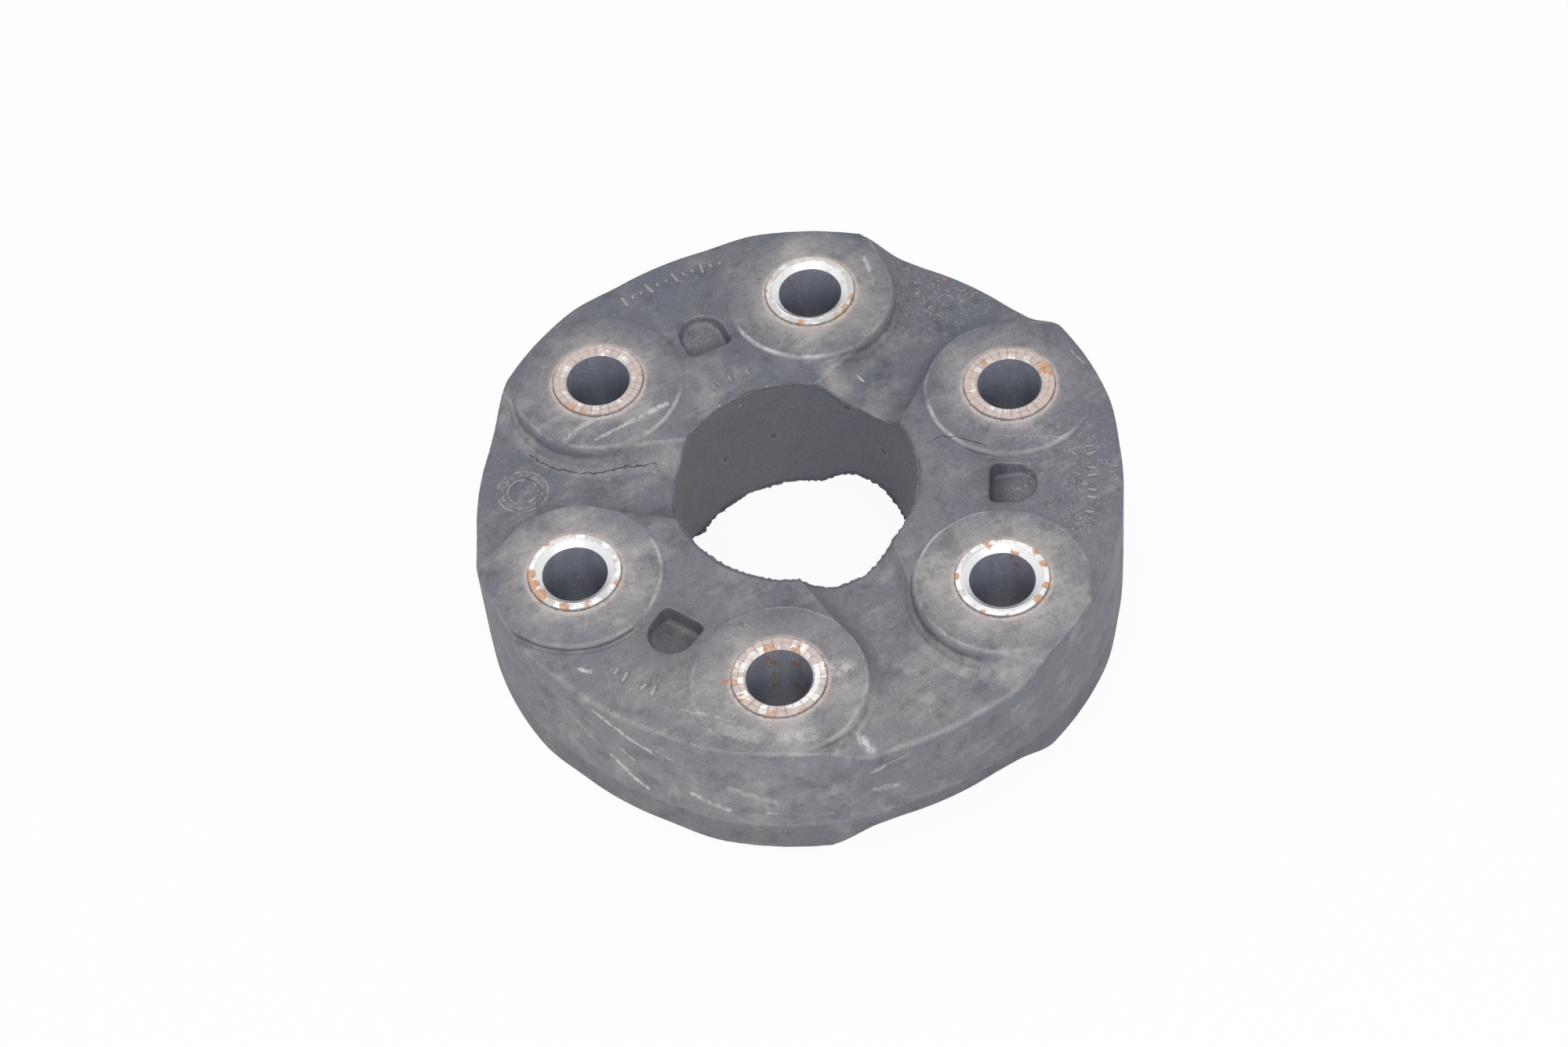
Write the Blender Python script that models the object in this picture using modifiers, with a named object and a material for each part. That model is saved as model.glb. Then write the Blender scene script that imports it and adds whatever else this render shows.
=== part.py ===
"""Flexible propshaft coupling: a rubber disc moulded over six steel sleeves and their cord loops.

The disc lies flat. Its axis is Z, the sleeves stand on Z = 0, and +X runs through a thick arm.
Thick arms carry the drive. Thin arms lie lower and alternate with them.
"""

import math

import bmesh
import bpy
from mathutils import Matrix, Vector

MM = 0.001

# Bolt circle and sleeves
ARM_PAIRS = 3
PITCH_RADIUS = 52.5 * MM
BORE_RADIUS = 7.05 * MM
SLEEVE_WALL = 2.95 * MM
SLEEVE_LENGTH = 38.0 * MM
SLEEVE_PROUD = 1.0 * MM
BORE_CHAMFER = 0.7 * MM
SLEEVE_CHAMFER = 0.4 * MM

# Cord loops and the collars between them
LOOP_BUILD = 6.2 * MM
THIN_ARM_LOOP_HEIGHT = 12.0 * MM
LOOP_CHAMFER = 0.8 * MM
COLLAR_THICKNESS = 1.2 * MM
COLLAR_LIP = 0.5 * MM
FIT_GAP = 0.3 * MM

# Rubber round them
FACE_COVER = 1.2 * MM
BOSS_COVER = 1.3 * MM
RIM_COVER = 1.7 * MM
HOLE_COVER = 1.9 * MM
RIM_DRAFT = 0.2 * MM
RIM_CHAMFER = 0.5 * MM
ARM_INSET = 0.7 * MM
PARTING_HEIGHT = 10.0 * MM

# Bosses
LOBE_HALF_ANGLE = math.radians(10.0)
LOBE_CORNER_RADIUS = 4.0 * MM
BOSS_EDGE = 0.5 * MM

# Arm faces, measured down from the boss faces, at the centre hole and what they fall to the rim
THICK_ARM_STEP = 0.5 * MM
THICK_ARM_FALL = 0.5 * MM
THIN_ARM_STEP = 5.6 * MM
THIN_ARM_FALL = 0.6 * MM
VALLEY_MOUTH_HALF_ANGLE = math.radians(24.0)
VALLEY_FLOOR_HALF_WIDTH = 3.4 * MM
VALLEY_CREST_INSET = 0.4 * MM

# D-shaped recesses in the thick arms
RECESS_LENGTH = 10.6 * MM
RECESS_WIDTH = 10.6 * MM
RECESS_DEPTH = 5.5 * MM
RECESS_SHIFT = 1.8 * MM
RECESS_CORNER_RADIUS = 1.5 * MM
RECESS_FLOOR_CHAMFER = 1.0 * MM
RECESS_FLOOR_RISE = 2.2 * MM

# What follows from the sizes above
SLEEVE_COUNT = 2 * ARM_PAIRS
STATION_ANGLE = math.tau / SLEEVE_COUNT
FIRST_STATION = STATION_ANGLE / 2
SLEEVE_RADIUS = BORE_RADIUS + SLEEVE_WALL
MID_HEIGHT = SLEEVE_LENGTH / 2
BOSS_TOP = SLEEVE_LENGTH - SLEEVE_PROUD
STACK_INNER_RADIUS = SLEEVE_RADIUS + FIT_GAP
LOOP_RADIUS = STACK_INNER_RADIUS + LOOP_BUILD
COLLAR_RADIUS = LOOP_RADIUS + COLLAR_LIP
POCKET_RADIUS = COLLAR_RADIUS + FIT_GAP
POCKET_TOP = BOSS_TOP - FACE_COVER
BOSS_RADIUS = POCKET_RADIUS + BOSS_COVER
RIM_RADIUS = PITCH_RADIUS + POCKET_RADIUS + RIM_COVER
HALF_SPAN = PITCH_RADIUS * math.sin(STATION_ANGLE / 2)
ARM_MIDDLE = PITCH_RADIUS * math.cos(STATION_ANGLE / 2)
HOLE_RADIUS = ARM_MIDDLE - LOOP_RADIUS - FIT_GAP - HOLE_COVER
VALLEY_SLOPE = HALF_SPAN - BOSS_RADIUS - VALLEY_FLOOR_HALF_WIDTH

# Heights in the stack on a sleeve, from the middle up; the lower half mirrors it
INNER_COLLAR_BASE = MID_HEIGHT + THIN_ARM_LOOP_HEIGHT / 2 + FIT_GAP
THICK_LOOP_BASE = INNER_COLLAR_BASE + COLLAR_THICKNESS + FIT_GAP
OUTER_COLLAR_BASE = POCKET_TOP - FIT_GAP - COLLAR_THICKNESS
THICK_ARM_LOOP_HEIGHT = OUTER_COLLAR_BASE - FIT_GAP - THICK_LOOP_BASE

# How finely curves are divided, and how far cutters reach past what they cut
DISC_STEPS = 60
SLEEVE_STEPS = 24
HIDDEN_STEPS = 16
EDGE_STEPS = 2
BOSS_STEPS = 18
RECESS_STEPS = 8
VALLEY_ARC_STEPS = 6
VALLEY_LEVELS = 4
OVERSHOOT = 4.0 * MM
SKIM = 0.1 * MM
FLOOR_OVERCUT = 0.4 * MM
RIM_DIP = 3.0 * MM
GUARD_MARGIN = 0.05 * MM
WELD = 0.01 * MM
SMOOTH_BELOW = math.radians(30.0)

# Finishes: colour, roughness, metallic
RUBBER = ("rubber", (0.120, 0.125, 0.140), 0.75, 0.0)
SLEEVE_STEEL = ("sleeve_steel", (0.62, 0.60, 0.58), 0.35, 1.0)
CORD = ("cord", (0.30, 0.22, 0.14), 0.85, 0.0)
COLLAR_STEEL = ("collar_steel", (0.42, 0.42, 0.43), 0.45, 1.0)


def clear_scene():
    """Empty the scene of whatever it starts with."""
    for thing in list(bpy.data.objects):
        bpy.data.objects.remove(thing, do_unlink=True)


def new_collection(name):
    """Add a collection to the scene."""
    made = bpy.data.collections.new(name)
    bpy.context.scene.collection.children.link(made)
    return made


def finish_of(kind):
    """Return the material of one finish, made when first asked for."""
    name, colour, roughness, metallic = kind
    found = bpy.data.materials.get(name)
    if found:
        return found
    made = bpy.data.materials.new(name)
    made.use_nodes = True
    shader = made.node_tree.nodes["Principled BSDF"]
    shader.inputs["Base Color"].default_value = (*colour, 1.0)
    shader.inputs["Roughness"].default_value = roughness
    shader.inputs["Metallic"].default_value = metallic
    return made


def add_mesh(name, mesh, home, kind=None):
    """Put a mesh into a collection as an object; with no finish it is a cutter or a guide."""
    made = bpy.data.objects.new(name, mesh)
    home.objects.link(made)
    if kind:
        mesh.materials.append(finish_of(kind))
    else:
        made.hide_render = True
        made.display_type = "WIRE"
    return made


def mesh_from(shape, name):
    """Turn a bmesh into a mesh with its faces outwards."""
    bmesh.ops.recalc_face_normals(shape, faces=shape.faces)
    mesh = bpy.data.meshes.new(name)
    shape.to_mesh(mesh)
    shape.free()
    return mesh


def turned(name, profile, steps, home, kind=None):
    """Turn a closed profile, given as (radius, height) down its outer side first, about Z."""
    mesh = bpy.data.meshes.new(name)
    points = [(radius, 0.0, height) for radius, height in profile]
    count = len(points)
    mesh.from_pydata(points, [(i, (i + 1) % count) for i in range(count)], [])
    made = add_mesh(name, mesh, home, kind)
    screw = made.modifiers.new("turn", "SCREW")
    screw.axis = "Z"
    screw.angle = math.tau
    screw.steps = screw.render_steps = steps
    screw.use_merge_vertices = True
    screw.merge_threshold = WELD
    screw.use_smooth_shade = False
    return made


def flat_shape(name, outlines, thickness, chamfer, home, kind=None):
    """Extrude flat outlines, centred on Z = 0; a chamfer grows them and slopes their edges."""
    curve = bpy.data.curves.new(name, "CURVE")
    curve.dimensions = "2D"
    curve.fill_mode = "BOTH"
    curve.extrude = thickness / 2 - chamfer
    curve.bevel_depth = chamfer
    curve.bevel_resolution = 0
    for outline in outlines:
        spline = curve.splines.new("POLY")
        spline.points.add(len(outline) - 1)
        for point, (x, y) in zip(spline.points, outline):
            point.co = (x, y, 0.0, 1.0)
        spline.use_cyclic_u = True
    drawn = bpy.data.objects.new(name + "_curve", curve)
    bpy.context.scene.collection.objects.link(drawn)
    evaluated = drawn.evaluated_get(bpy.context.evaluated_depsgraph_get())
    shape = bmesh.new()
    shape.from_mesh(bpy.data.meshes.new_from_object(evaluated))
    bmesh.ops.remove_doubles(shape, verts=shape.verts, dist=WELD)
    bpy.data.objects.remove(drawn, do_unlink=True)
    return add_mesh(name, mesh_from(shape, name), home, kind)


def facet_radius(radius, steps):
    """Return the corner radius of a faceted hole whose flats lie on a true circle."""
    return radius / math.cos(math.pi / steps)


def round_hole(name, radius, base, top, steps, home):
    """Add an upright cutter between two heights, with its flats on the hole's radius."""
    shape = bmesh.new()
    corner = facet_radius(radius, steps)
    bmesh.ops.create_cone(shape, cap_ends=True, segments=steps, radius1=corner, radius2=corner,
                          depth=top - base, matrix=Matrix.Translation((0, 0, (base + top) / 2)))
    return add_mesh(name, mesh_from(shape, name), home)


def block(name, size, middle, home):
    """Add a box, given its size and middle, as a cutter."""
    shape = bmesh.new()
    bmesh.ops.create_cube(shape, size=1.0, matrix=Matrix.LocRotScale(middle, None, size))
    return add_mesh(name, mesh_from(shape, name), home)


def boolean(target, operation, tools, solver="EXACT"):
    """Join or cut a target with every object of a collection."""
    made = target.modifiers.new(operation.lower(), "BOOLEAN")
    made.operation = operation
    made.operand_type = "COLLECTION"
    made.collection = tools
    made.solver = solver


def polar(radius, angle):
    """Return the flat point at a radius and an angle."""
    return Vector((radius * math.cos(angle), radius * math.sin(angle)))


def arc(centre, radius, start, end, steps):
    """Return the points of an arc, both ends included."""
    return [centre + polar(radius, start + (end - start) * i / steps) for i in range(steps + 1)]


def rounded_corner(before, corner, after, radius):
    """Return the arc that replaces the corner between two straight edges."""
    back = (before - corner).normalized()
    on = (after - corner).normalized()
    half = back.angle(on) / 2
    centre = corner + (back + on).normalized() * (radius / math.sin(half))
    start = corner + back * (radius / math.tan(half)) - centre
    sweep = start.angle_signed(corner + on * (radius / math.tan(half)) - centre)
    first = math.atan2(start.y, start.x)
    return arc(centre, radius, first, first - sweep, EDGE_STEPS)


def turn_to(thing, angle, distance=0.0):
    """Set an object at an angle round the disc's axis, a distance out, facing outwards."""
    spot = polar(distance, angle)
    thing.location.xy = spot
    thing.rotation_euler.z = angle


def station_angle(number):
    """Return the angle of a sleeve, numbered from 1."""
    return FIRST_STATION + STATION_ANGLE * (number - 1)


def arm_angle(number, thick):
    """Return the middle angle of a thick or a thin arm, numbered from 1."""
    offset = 0.0 if thick else STATION_ANGLE
    return offset + 2 * STATION_ANGLE * (number - 1)


def build_sleeve(number, parts):
    """Turn one steel sleeve with chamfered ends and set it on the bolt circle."""
    inner, outer, top = BORE_RADIUS, SLEEVE_RADIUS, SLEEVE_LENGTH
    profile = [
        (outer - SLEEVE_CHAMFER, top),
        (outer, top - SLEEVE_CHAMFER),
        (outer, SLEEVE_CHAMFER),
        (outer - SLEEVE_CHAMFER, 0.0),
        (inner + BORE_CHAMFER, 0.0),
        (inner, BORE_CHAMFER),
        (inner, top - BORE_CHAMFER),
        (inner + BORE_CHAMFER, top),
    ]
    sleeve = turned(f"sleeve_{number}", profile, SLEEVE_STEPS, parts, SLEEVE_STEEL)
    turn_to(sleeve, station_angle(number), PITCH_RADIUS)


def build_collars(number, parts):
    """Turn the four collar discs of one sleeve."""
    inner = facet_radius(STACK_INNER_RADIUS, HIDDEN_STEPS)
    bases = {
        "top": OUTER_COLLAR_BASE,
        "upper": INNER_COLLAR_BASE,
        "lower": SLEEVE_LENGTH - INNER_COLLAR_BASE - COLLAR_THICKNESS,
        "bottom": SLEEVE_LENGTH - OUTER_COLLAR_BASE - COLLAR_THICKNESS,
    }
    for place, base in bases.items():
        profile = [
            (COLLAR_RADIUS, base + COLLAR_THICKNESS),
            (COLLAR_RADIUS, base),
            (inner, base),
            (inner, base + COLLAR_THICKNESS),
        ]
        name = f"collar_{number}_{place}"
        collar = turned(name, profile, HIDDEN_STEPS, parts, COLLAR_STEEL)
        turn_to(collar, station_angle(number), PITCH_RADIUS)


def loop_outline(radius):
    """Return the racetrack that runs a radius away from the line between two sleeves."""
    half_steps = HIDDEN_STEPS // 2
    far = arc(Vector((ARM_MIDDLE, HALF_SPAN)), radius, 0.0, math.pi, half_steps)
    near = arc(Vector((ARM_MIDDLE, -HALF_SPAN)), radius, math.pi, math.tau, half_steps)
    return far + near


def build_loop(name, angle, base, height, parts, pockets):
    """Wind one cord loop round two sleeves, and cut the channels that its straight runs fill."""
    inner = facet_radius(STACK_INNER_RADIUS, HIDDEN_STEPS)
    outlines = [loop_outline(LOOP_RADIUS), loop_outline(inner)]
    loop = flat_shape(name, outlines, height, 0.0, parts, CORD)
    loop.location.z = base + height / 2
    turn_to(loop, angle)
    edges = loop.modifiers.new("edges", "BEVEL")
    edges.width = LOOP_CHAMFER
    edges.segments = 1
    width = LOOP_BUILD + 2 * FIT_GAP
    size = Vector((width, 2 * HALF_SPAN, height + 2 * FIT_GAP))
    for side in (-1, 1):
        middle = ARM_MIDDLE + side * (STACK_INNER_RADIUS + LOOP_BUILD / 2)
        channel = block(f"{name}_channel_{side}", size, Vector((middle, 0, base + height / 2)), pockets)
        turn_to(channel, angle)


def build_loops(parts, pockets):
    """Wind the upper and lower loops of the thick arms and the single loops of the thin arms."""
    height = THICK_ARM_LOOP_HEIGHT
    low_base = SLEEVE_LENGTH - THICK_LOOP_BASE - height
    middle_base = MID_HEIGHT - THIN_ARM_LOOP_HEIGHT / 2
    for number in range(1, ARM_PAIRS + 1):
        thick, thin = arm_angle(number, True), arm_angle(number, False)
        build_loop(f"drive_loop_upper_{number}", thick, THICK_LOOP_BASE, height, parts, pockets)
        build_loop(f"drive_loop_lower_{number}", thick, low_base, height, parts, pockets)
        build_loop(f"coast_loop_{number}", thin, middle_base, THIN_ARM_LOOP_HEIGHT, parts, pockets)


def disc_section(step, fall, hub, margin):
    """Return the section of a disc whose faces lie a step below the bosses and fall to the rim."""
    inner_top = BOSS_TOP - step
    outer_top = inner_top - fall
    wall = RIM_RADIUS - ARM_INSET - RIM_DRAFT + margin
    upper = [Vector((wall - RIM_CHAMFER, outer_top)), Vector((wall, outer_top - RIM_CHAMFER))]
    lower = [Vector((point.x, SLEEVE_LENGTH - point.y)) for point in reversed(upper)]
    parting = [Vector((wall + RIM_DRAFT, PARTING_HEIGHT))]
    bore = [Vector((hub, SLEEVE_LENGTH - inner_top)), Vector((hub, inner_top))]
    return [tuple(point) for point in upper + parting + lower + bore]


def tangent_angle(centre, point, side):
    """Return where a line from a point touches the boss circle round a centre."""
    away = point - centre
    return math.atan2(away.y, away.x) + side * math.acos(BOSS_RADIUS / away.length)


def lobe_outline():
    """Return a boss's outline, grown to the rim: a circle, two tangents and a stretch of rim."""
    centre = Vector((PITCH_RADIUS, 0))
    radius, rim = BOSS_RADIUS - BOSS_EDGE, RIM_RADIUS - BOSS_EDGE
    corner, other = polar(rim, LOBE_HALF_ANGLE), polar(rim, -LOBE_HALF_ANGLE)
    middle = arc(Vector((0, 0)), rim, -LOBE_HALF_ANGLE / 2, LOBE_HALF_ANGLE / 2, EDGE_STEPS)
    touch = tangent_angle(centre, polar(RIM_RADIUS, LOBE_HALF_ANGLE), 1)
    circle = arc(centre, radius, touch, math.tau - touch, BOSS_STEPS)
    low = rounded_corner(circle[-1], other, middle[0], LOBE_CORNER_RADIUS)
    high = rounded_corner(middle[-1], corner, circle[0], LOBE_CORNER_RADIUS)
    return circle + low + middle + high


def build_lobes(lobes):
    """Make the six bosses that stand up round the sleeves."""
    for number in range(1, SLEEVE_COUNT + 1):
        height = BOSS_TOP - SLEEVE_PROUD
        lobe = flat_shape(f"lobe_{number}", [lobe_outline()], height, BOSS_EDGE, lobes)
        lobe.location.z = MID_HEIGHT
        turn_to(lobe, station_angle(number))


def valley_side(offset):
    """Return one side of a thin arm's valley, from the hole to the rim, an offset inside its crest."""
    centre = polar(PITCH_RADIUS, STATION_ANGLE / 2)
    mouth = polar(HOLE_RADIUS, VALLEY_MOUTH_HALF_ANGLE)
    corner = polar(RIM_RADIUS, STATION_ANGLE / 2 - LOBE_HALF_ANGLE)
    start = tangent_angle(centre, mouth, 1)
    end = tangent_angle(centre, corner, -1)
    bend = arc(centre, BOSS_RADIUS + offset, start, end, VALLEY_ARC_STEPS)
    inward = (mouth - centre - polar(BOSS_RADIUS, start)).normalized()
    outward = (corner - centre - polar(BOSS_RADIUS, end)).normalized()
    hub = (mouth - centre).dot(inward) + OVERSHOOT
    rim = (RIM_RADIUS + OVERSHOOT - bend[-1].x) / outward.x
    return [bend[0] + inward * hub] + bend + [bend[-1] + outward * rim]


def valley_rings():
    """Return the outlines down a valley's slope, a soft S from crest to floor that dips at the rim."""
    crest = BOSS_TOP + SKIM
    depth = crest - (BOSS_TOP - THIN_ARM_STEP - THIN_ARM_FALL - FLOOR_OVERCUT)
    width = VALLEY_SLOPE + VALLEY_CREST_INSET
    levels = [(0.0, 0.0, crest + OVERSHOOT)]
    for i in range(VALLEY_LEVELS + 1):
        drop = (1 - math.cos(math.pi * i / VALLEY_LEVELS)) / 2
        levels.append((i / VALLEY_LEVELS, drop, crest - depth * drop))
    rings = []
    for along, drop, height in levels:
        side = [(point.x, point.y, height) for point in valley_side(width * along - VALLEY_CREST_INSET)]
        rim_x, rim_y, rim_height = side[-1]
        side[-1] = (rim_x, rim_y, rim_height - drop * RIM_DIP)
        rings.append(side + [(x, -y, z) for x, y, z in reversed(side)])
    return rings


def loft(shape, rings):
    """Skin rings of equally many points, and close both ends with strips from side to side."""
    loops = [[shape.verts.new(point) for point in ring] for ring in rings]
    count = len(loops[0])
    for first, second in zip(loops, loops[1:]):
        for i in range(count):
            after = (i + 1) % count
            shape.faces.new((first[i], first[after], second[after], second[i]))
    for end in (loops[0], loops[-1]):
        for i in range(count // 2 - 1):
            shape.faces.new((end[i], end[i + 1], end[count - 2 - i], end[count - 1 - i]))


def build_valleys(valleys, guards):
    """Make the cutters that lower the thin arms, top and bottom, down to a softly edged floor."""
    hub = HOLE_RADIUS - 2 * OVERSHOOT
    guard_section = disc_section(THIN_ARM_STEP, THIN_ARM_FALL, hub, GUARD_MARGIN)
    turned("thin_arm_guard", guard_section, DISC_STEPS, guards)
    upper = valley_rings()
    lower = [[(x, y, SLEEVE_LENGTH - z) for x, y, z in ring] for ring in upper]
    for number in range(1, ARM_PAIRS + 1):
        shape = bmesh.new()
        loft(shape, upper)
        loft(shape, lower)
        valley = add_mesh(f"valley_{number}", mesh_from(shape, f"valley_{number}"), valleys)
        turn_to(valley, arm_angle(number, False))
        boolean(valley, "DIFFERENCE", guards)


def recess_outline():
    """Return the D of a recess: a straight side towards the hole and a round end outwards."""
    half = RECESS_WIDTH / 2 - RECESS_FLOOR_CHAMFER
    middle = ARM_MIDDLE + RECESS_SHIFT
    flat = middle - RECESS_LENGTH / 2 + RECESS_FLOOR_CHAMFER
    round_centre = Vector((middle + RECESS_LENGTH / 2 - RECESS_WIDTH / 2, 0))
    nose = arc(round_centre, half, -math.pi / 2, math.pi / 2, RECESS_STEPS)
    high, low = Vector((flat, half)), Vector((flat, -half))
    corners = rounded_corner(nose[-1], high, low, RECESS_CORNER_RADIUS)
    return nose + corners + rounded_corner(high, low, nose[0], RECESS_CORNER_RADIUS)


def raise_floor(recess, side):
    """Let a recess's floor, on the upper or lower side of its cutter, rise towards the round end."""
    start = ARM_MIDDLE + RECESS_SHIFT - RECESS_LENGTH / 2
    for vertex in recess.data.vertices:
        if vertex.co.z * side > 0:
            vertex.co.z -= side * RECESS_FLOOR_RISE * (vertex.co.x - start) / RECESS_LENGTH


def build_recesses(pockets):
    """Sink a recess into both faces of each thick arm, between the runs of its loops."""
    height = RECESS_DEPTH + OVERSHOOT
    floor = BOSS_TOP - THICK_ARM_STEP - RECESS_DEPTH
    for number in range(1, ARM_PAIRS + 1):
        for face, base, side in (("top", floor, -1), ("bottom", SLEEVE_LENGTH - floor - height, 1)):
            name = f"recess_{number}_{face}"
            recess = flat_shape(name, [recess_outline()], height, RECESS_FLOOR_CHAMFER, pockets)
            raise_floor(recess, side)
            recess.location.z = base + height / 2
            turn_to(recess, arm_angle(number, True))


def build_stack_pockets(pockets):
    """Cut each sleeve's hole and the wider room for its collars and loops inside the rubber."""
    low, high = SLEEVE_LENGTH - POCKET_TOP, POCKET_TOP
    end = SLEEVE_LENGTH + OVERSHOOT
    for number in range(1, SLEEVE_COUNT + 1):
        bore = round_hole(f"sleeve_hole_{number}", STACK_INNER_RADIUS, -OVERSHOOT, end, SLEEVE_STEPS, pockets)
        room = round_hole(f"stack_room_{number}", POCKET_RADIUS, low, high, HIDDEN_STEPS, pockets)
        turn_to(bore, station_angle(number), PITCH_RADIUS)
        turn_to(room, station_angle(number), PITCH_RADIUS)


def build_rubber(parts, lobes, valleys, pockets):
    """Turn the disc, raise the bosses on it, sink the thin arms and open the room inside."""
    section = disc_section(THICK_ARM_STEP, THICK_ARM_FALL, HOLE_RADIUS, 0.0)
    body = turned("rubber_body", section, DISC_STEPS, parts, RUBBER)
    boolean(body, "UNION", lobes, "MANIFOLD")
    boolean(body, "DIFFERENCE", valleys, "MANIFOLD")
    boolean(body, "DIFFERENCE", pockets, "MANIFOLD")


def settle(part):
    """Apply a part's modifiers, and shade its round faces smooth."""
    evaluated = part.evaluated_get(bpy.context.evaluated_depsgraph_get())
    part.data = bpy.data.meshes.new_from_object(evaluated)
    part.modifiers.clear()
    part.data.shade_smooth()
    part.data.set_sharp_from_angle(angle=SMOOTH_BELOW)


def main():
    """Build the coupling."""
    clear_scene()
    parts = new_collection("propshaft_coupling")
    lobes = new_collection("boss_lobes")
    guards = new_collection("valley_guards")
    valleys = new_collection("valley_cutters")
    pockets = new_collection("pocket_cutters")
    build_lobes(lobes)
    build_valleys(valleys, guards)
    build_stack_pockets(pockets)
    build_recesses(pockets)
    build_loops(parts, pockets)
    build_rubber(parts, lobes, valleys, pockets)
    for number in range(1, SLEEVE_COUNT + 1):
        build_sleeve(number, parts)
        build_collars(number, parts)
    for part in parts.objects:
        settle(part)


main()
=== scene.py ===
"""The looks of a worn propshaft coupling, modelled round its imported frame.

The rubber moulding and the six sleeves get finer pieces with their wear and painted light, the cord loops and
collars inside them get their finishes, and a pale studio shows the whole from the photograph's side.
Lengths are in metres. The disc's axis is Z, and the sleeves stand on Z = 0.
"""

import logging
import math
from dataclasses import dataclass
from enum import Enum
from typing import Callable, Iterable, Sequence

import bmesh
import bpy
import numpy as np
from mathutils import Matrix, Vector, noise


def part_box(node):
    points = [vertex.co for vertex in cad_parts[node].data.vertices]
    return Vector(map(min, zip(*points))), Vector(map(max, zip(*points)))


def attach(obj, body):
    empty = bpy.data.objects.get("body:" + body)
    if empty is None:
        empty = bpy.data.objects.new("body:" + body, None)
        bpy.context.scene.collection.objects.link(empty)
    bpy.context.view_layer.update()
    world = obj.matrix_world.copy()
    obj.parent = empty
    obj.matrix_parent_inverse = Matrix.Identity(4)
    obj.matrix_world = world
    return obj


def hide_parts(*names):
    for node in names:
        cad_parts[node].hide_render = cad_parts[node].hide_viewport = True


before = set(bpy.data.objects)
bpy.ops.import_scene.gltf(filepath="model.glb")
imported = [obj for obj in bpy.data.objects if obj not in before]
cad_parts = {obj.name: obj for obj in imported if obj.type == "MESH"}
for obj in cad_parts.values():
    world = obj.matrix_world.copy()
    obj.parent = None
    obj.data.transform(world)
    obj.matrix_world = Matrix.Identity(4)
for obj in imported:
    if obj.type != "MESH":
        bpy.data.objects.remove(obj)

MM = 0.001
log = logging.getLogger("coupling")

Socket = bpy.types.NodeSocket
Colour = tuple[float, float, float]


def ease(values: np.ndarray) -> np.ndarray:
    """Return a soft step from 0 to 1 over the values 0 to 1."""
    clipped = np.clip(values, 0.0, 1.0)
    return clipped * clipped * (3.0 - 2.0 * clipped)


def turned(x: np.ndarray, y: np.ndarray, angle: float) -> tuple[np.ndarray, np.ndarray]:
    """Return plan coordinates seen in a frame turned by an angle.

    Args:
        x: coordinates along the part's X.
        y: coordinates along the part's Y.
        angle: direction of the new X, in radians.

    Returns:
        The coordinates along and across that direction.
    """
    return x * math.cos(angle) + y * math.sin(angle), y * math.cos(angle) - x * math.sin(angle)


def at(angle: float, radius: float) -> np.ndarray:
    """Return the plan place in a direction, at a distance from the middle."""
    return np.array((math.cos(angle), math.sin(angle))) * radius


def noise_field(points: np.ndarray, grain: float, seed: float) -> np.ndarray:
    """Return smooth noise between about -1 and 1 at each point.

    Args:
        points: one row of coordinates for each point.
        grain: size of the noise's lumps.
        seed: shifts the pattern.

    Returns:
        One value for each point.
    """
    shift = Vector((seed, seed * 1.7, -seed))
    scaled = points / grain
    return np.array([noise.noise(Vector(point) + shift) for point in scaled])


def deselect_all() -> None:
    """Leave no object selected."""
    for thing in bpy.context.selected_objects:
        thing.select_set(False)


def take(thing: bpy.types.Object) -> None:
    """Make one object the selected and active one."""
    deselect_all()
    thing.select_set(True)
    bpy.context.view_layer.objects.active = thing


def new_piece(name: str) -> bpy.types.Object:
    """Name the primitive that was just added and put its place into its mesh."""
    piece = bpy.context.object
    piece.name = piece.data.name = name
    bpy.ops.object.transform_apply(location=True, rotation=True, scale=True)
    return piece


def pick(kind: str, test: Callable[[Vector, Vector], bool]) -> int:
    """Select parts of the mesh in edit mode by their place and normal.

    Args:
        kind: FACE, EDGE or VERT.
        test: takes a place and a normal, and says whether the part is wanted.

    Returns:
        How many were selected.
    """
    bpy.ops.mesh.select_all(action="DESELECT")
    bpy.ops.mesh.select_mode(type=kind)
    shape = bmesh.from_edit_mesh(bpy.context.object.data)
    if kind == "FACE":
        found = [f for f in shape.faces if test(f.calc_center_median(), f.normal)]
    elif kind == "EDGE":
        found = [e for e in shape.edges if all(test(v.co, v.normal) for v in e.verts)]
    else:
        found = [v for v in shape.verts if test(v.co, v.normal)]
    for item in found:
        item.select_set(True)
    shape.select_flush_mode()
    bmesh.update_edit_mesh(bpy.context.object.data)
    return len(found)


def edit(piece: bpy.types.Object) -> None:
    """Open a piece in edit mode."""
    take(piece)
    bpy.ops.object.mode_set(mode="EDIT")


def close() -> None:
    """Go back to object mode."""
    bpy.ops.object.mode_set(mode="OBJECT")


def open_middle(outer: float, inner: float) -> None:
    """Open a round hole through the upright cylinder that is in edit mode.

    Args:
        outer: the cylinder's radius.
        inner: the hole's radius.
    """
    pick("FACE", lambda place, normal: abs(normal.z) > 0.9)
    bpy.ops.mesh.inset(thickness=outer - inner)
    bpy.ops.mesh.delete(type="FACE")
    between = (outer + inner) / 2
    pick("EDGE", lambda place, normal: place.xy.length < between)
    bpy.ops.mesh.bridge_edge_loops()


def apply_modifier(piece: bpy.types.Object, kind: str, **settings) -> None:
    """Add a modifier with its settings and apply it."""
    take(piece)
    made = piece.modifiers.new(kind.lower(), kind)
    for key, value in settings.items():
        setattr(made, key, value)
    bpy.ops.object.modifier_apply(modifier=made.name)


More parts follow.
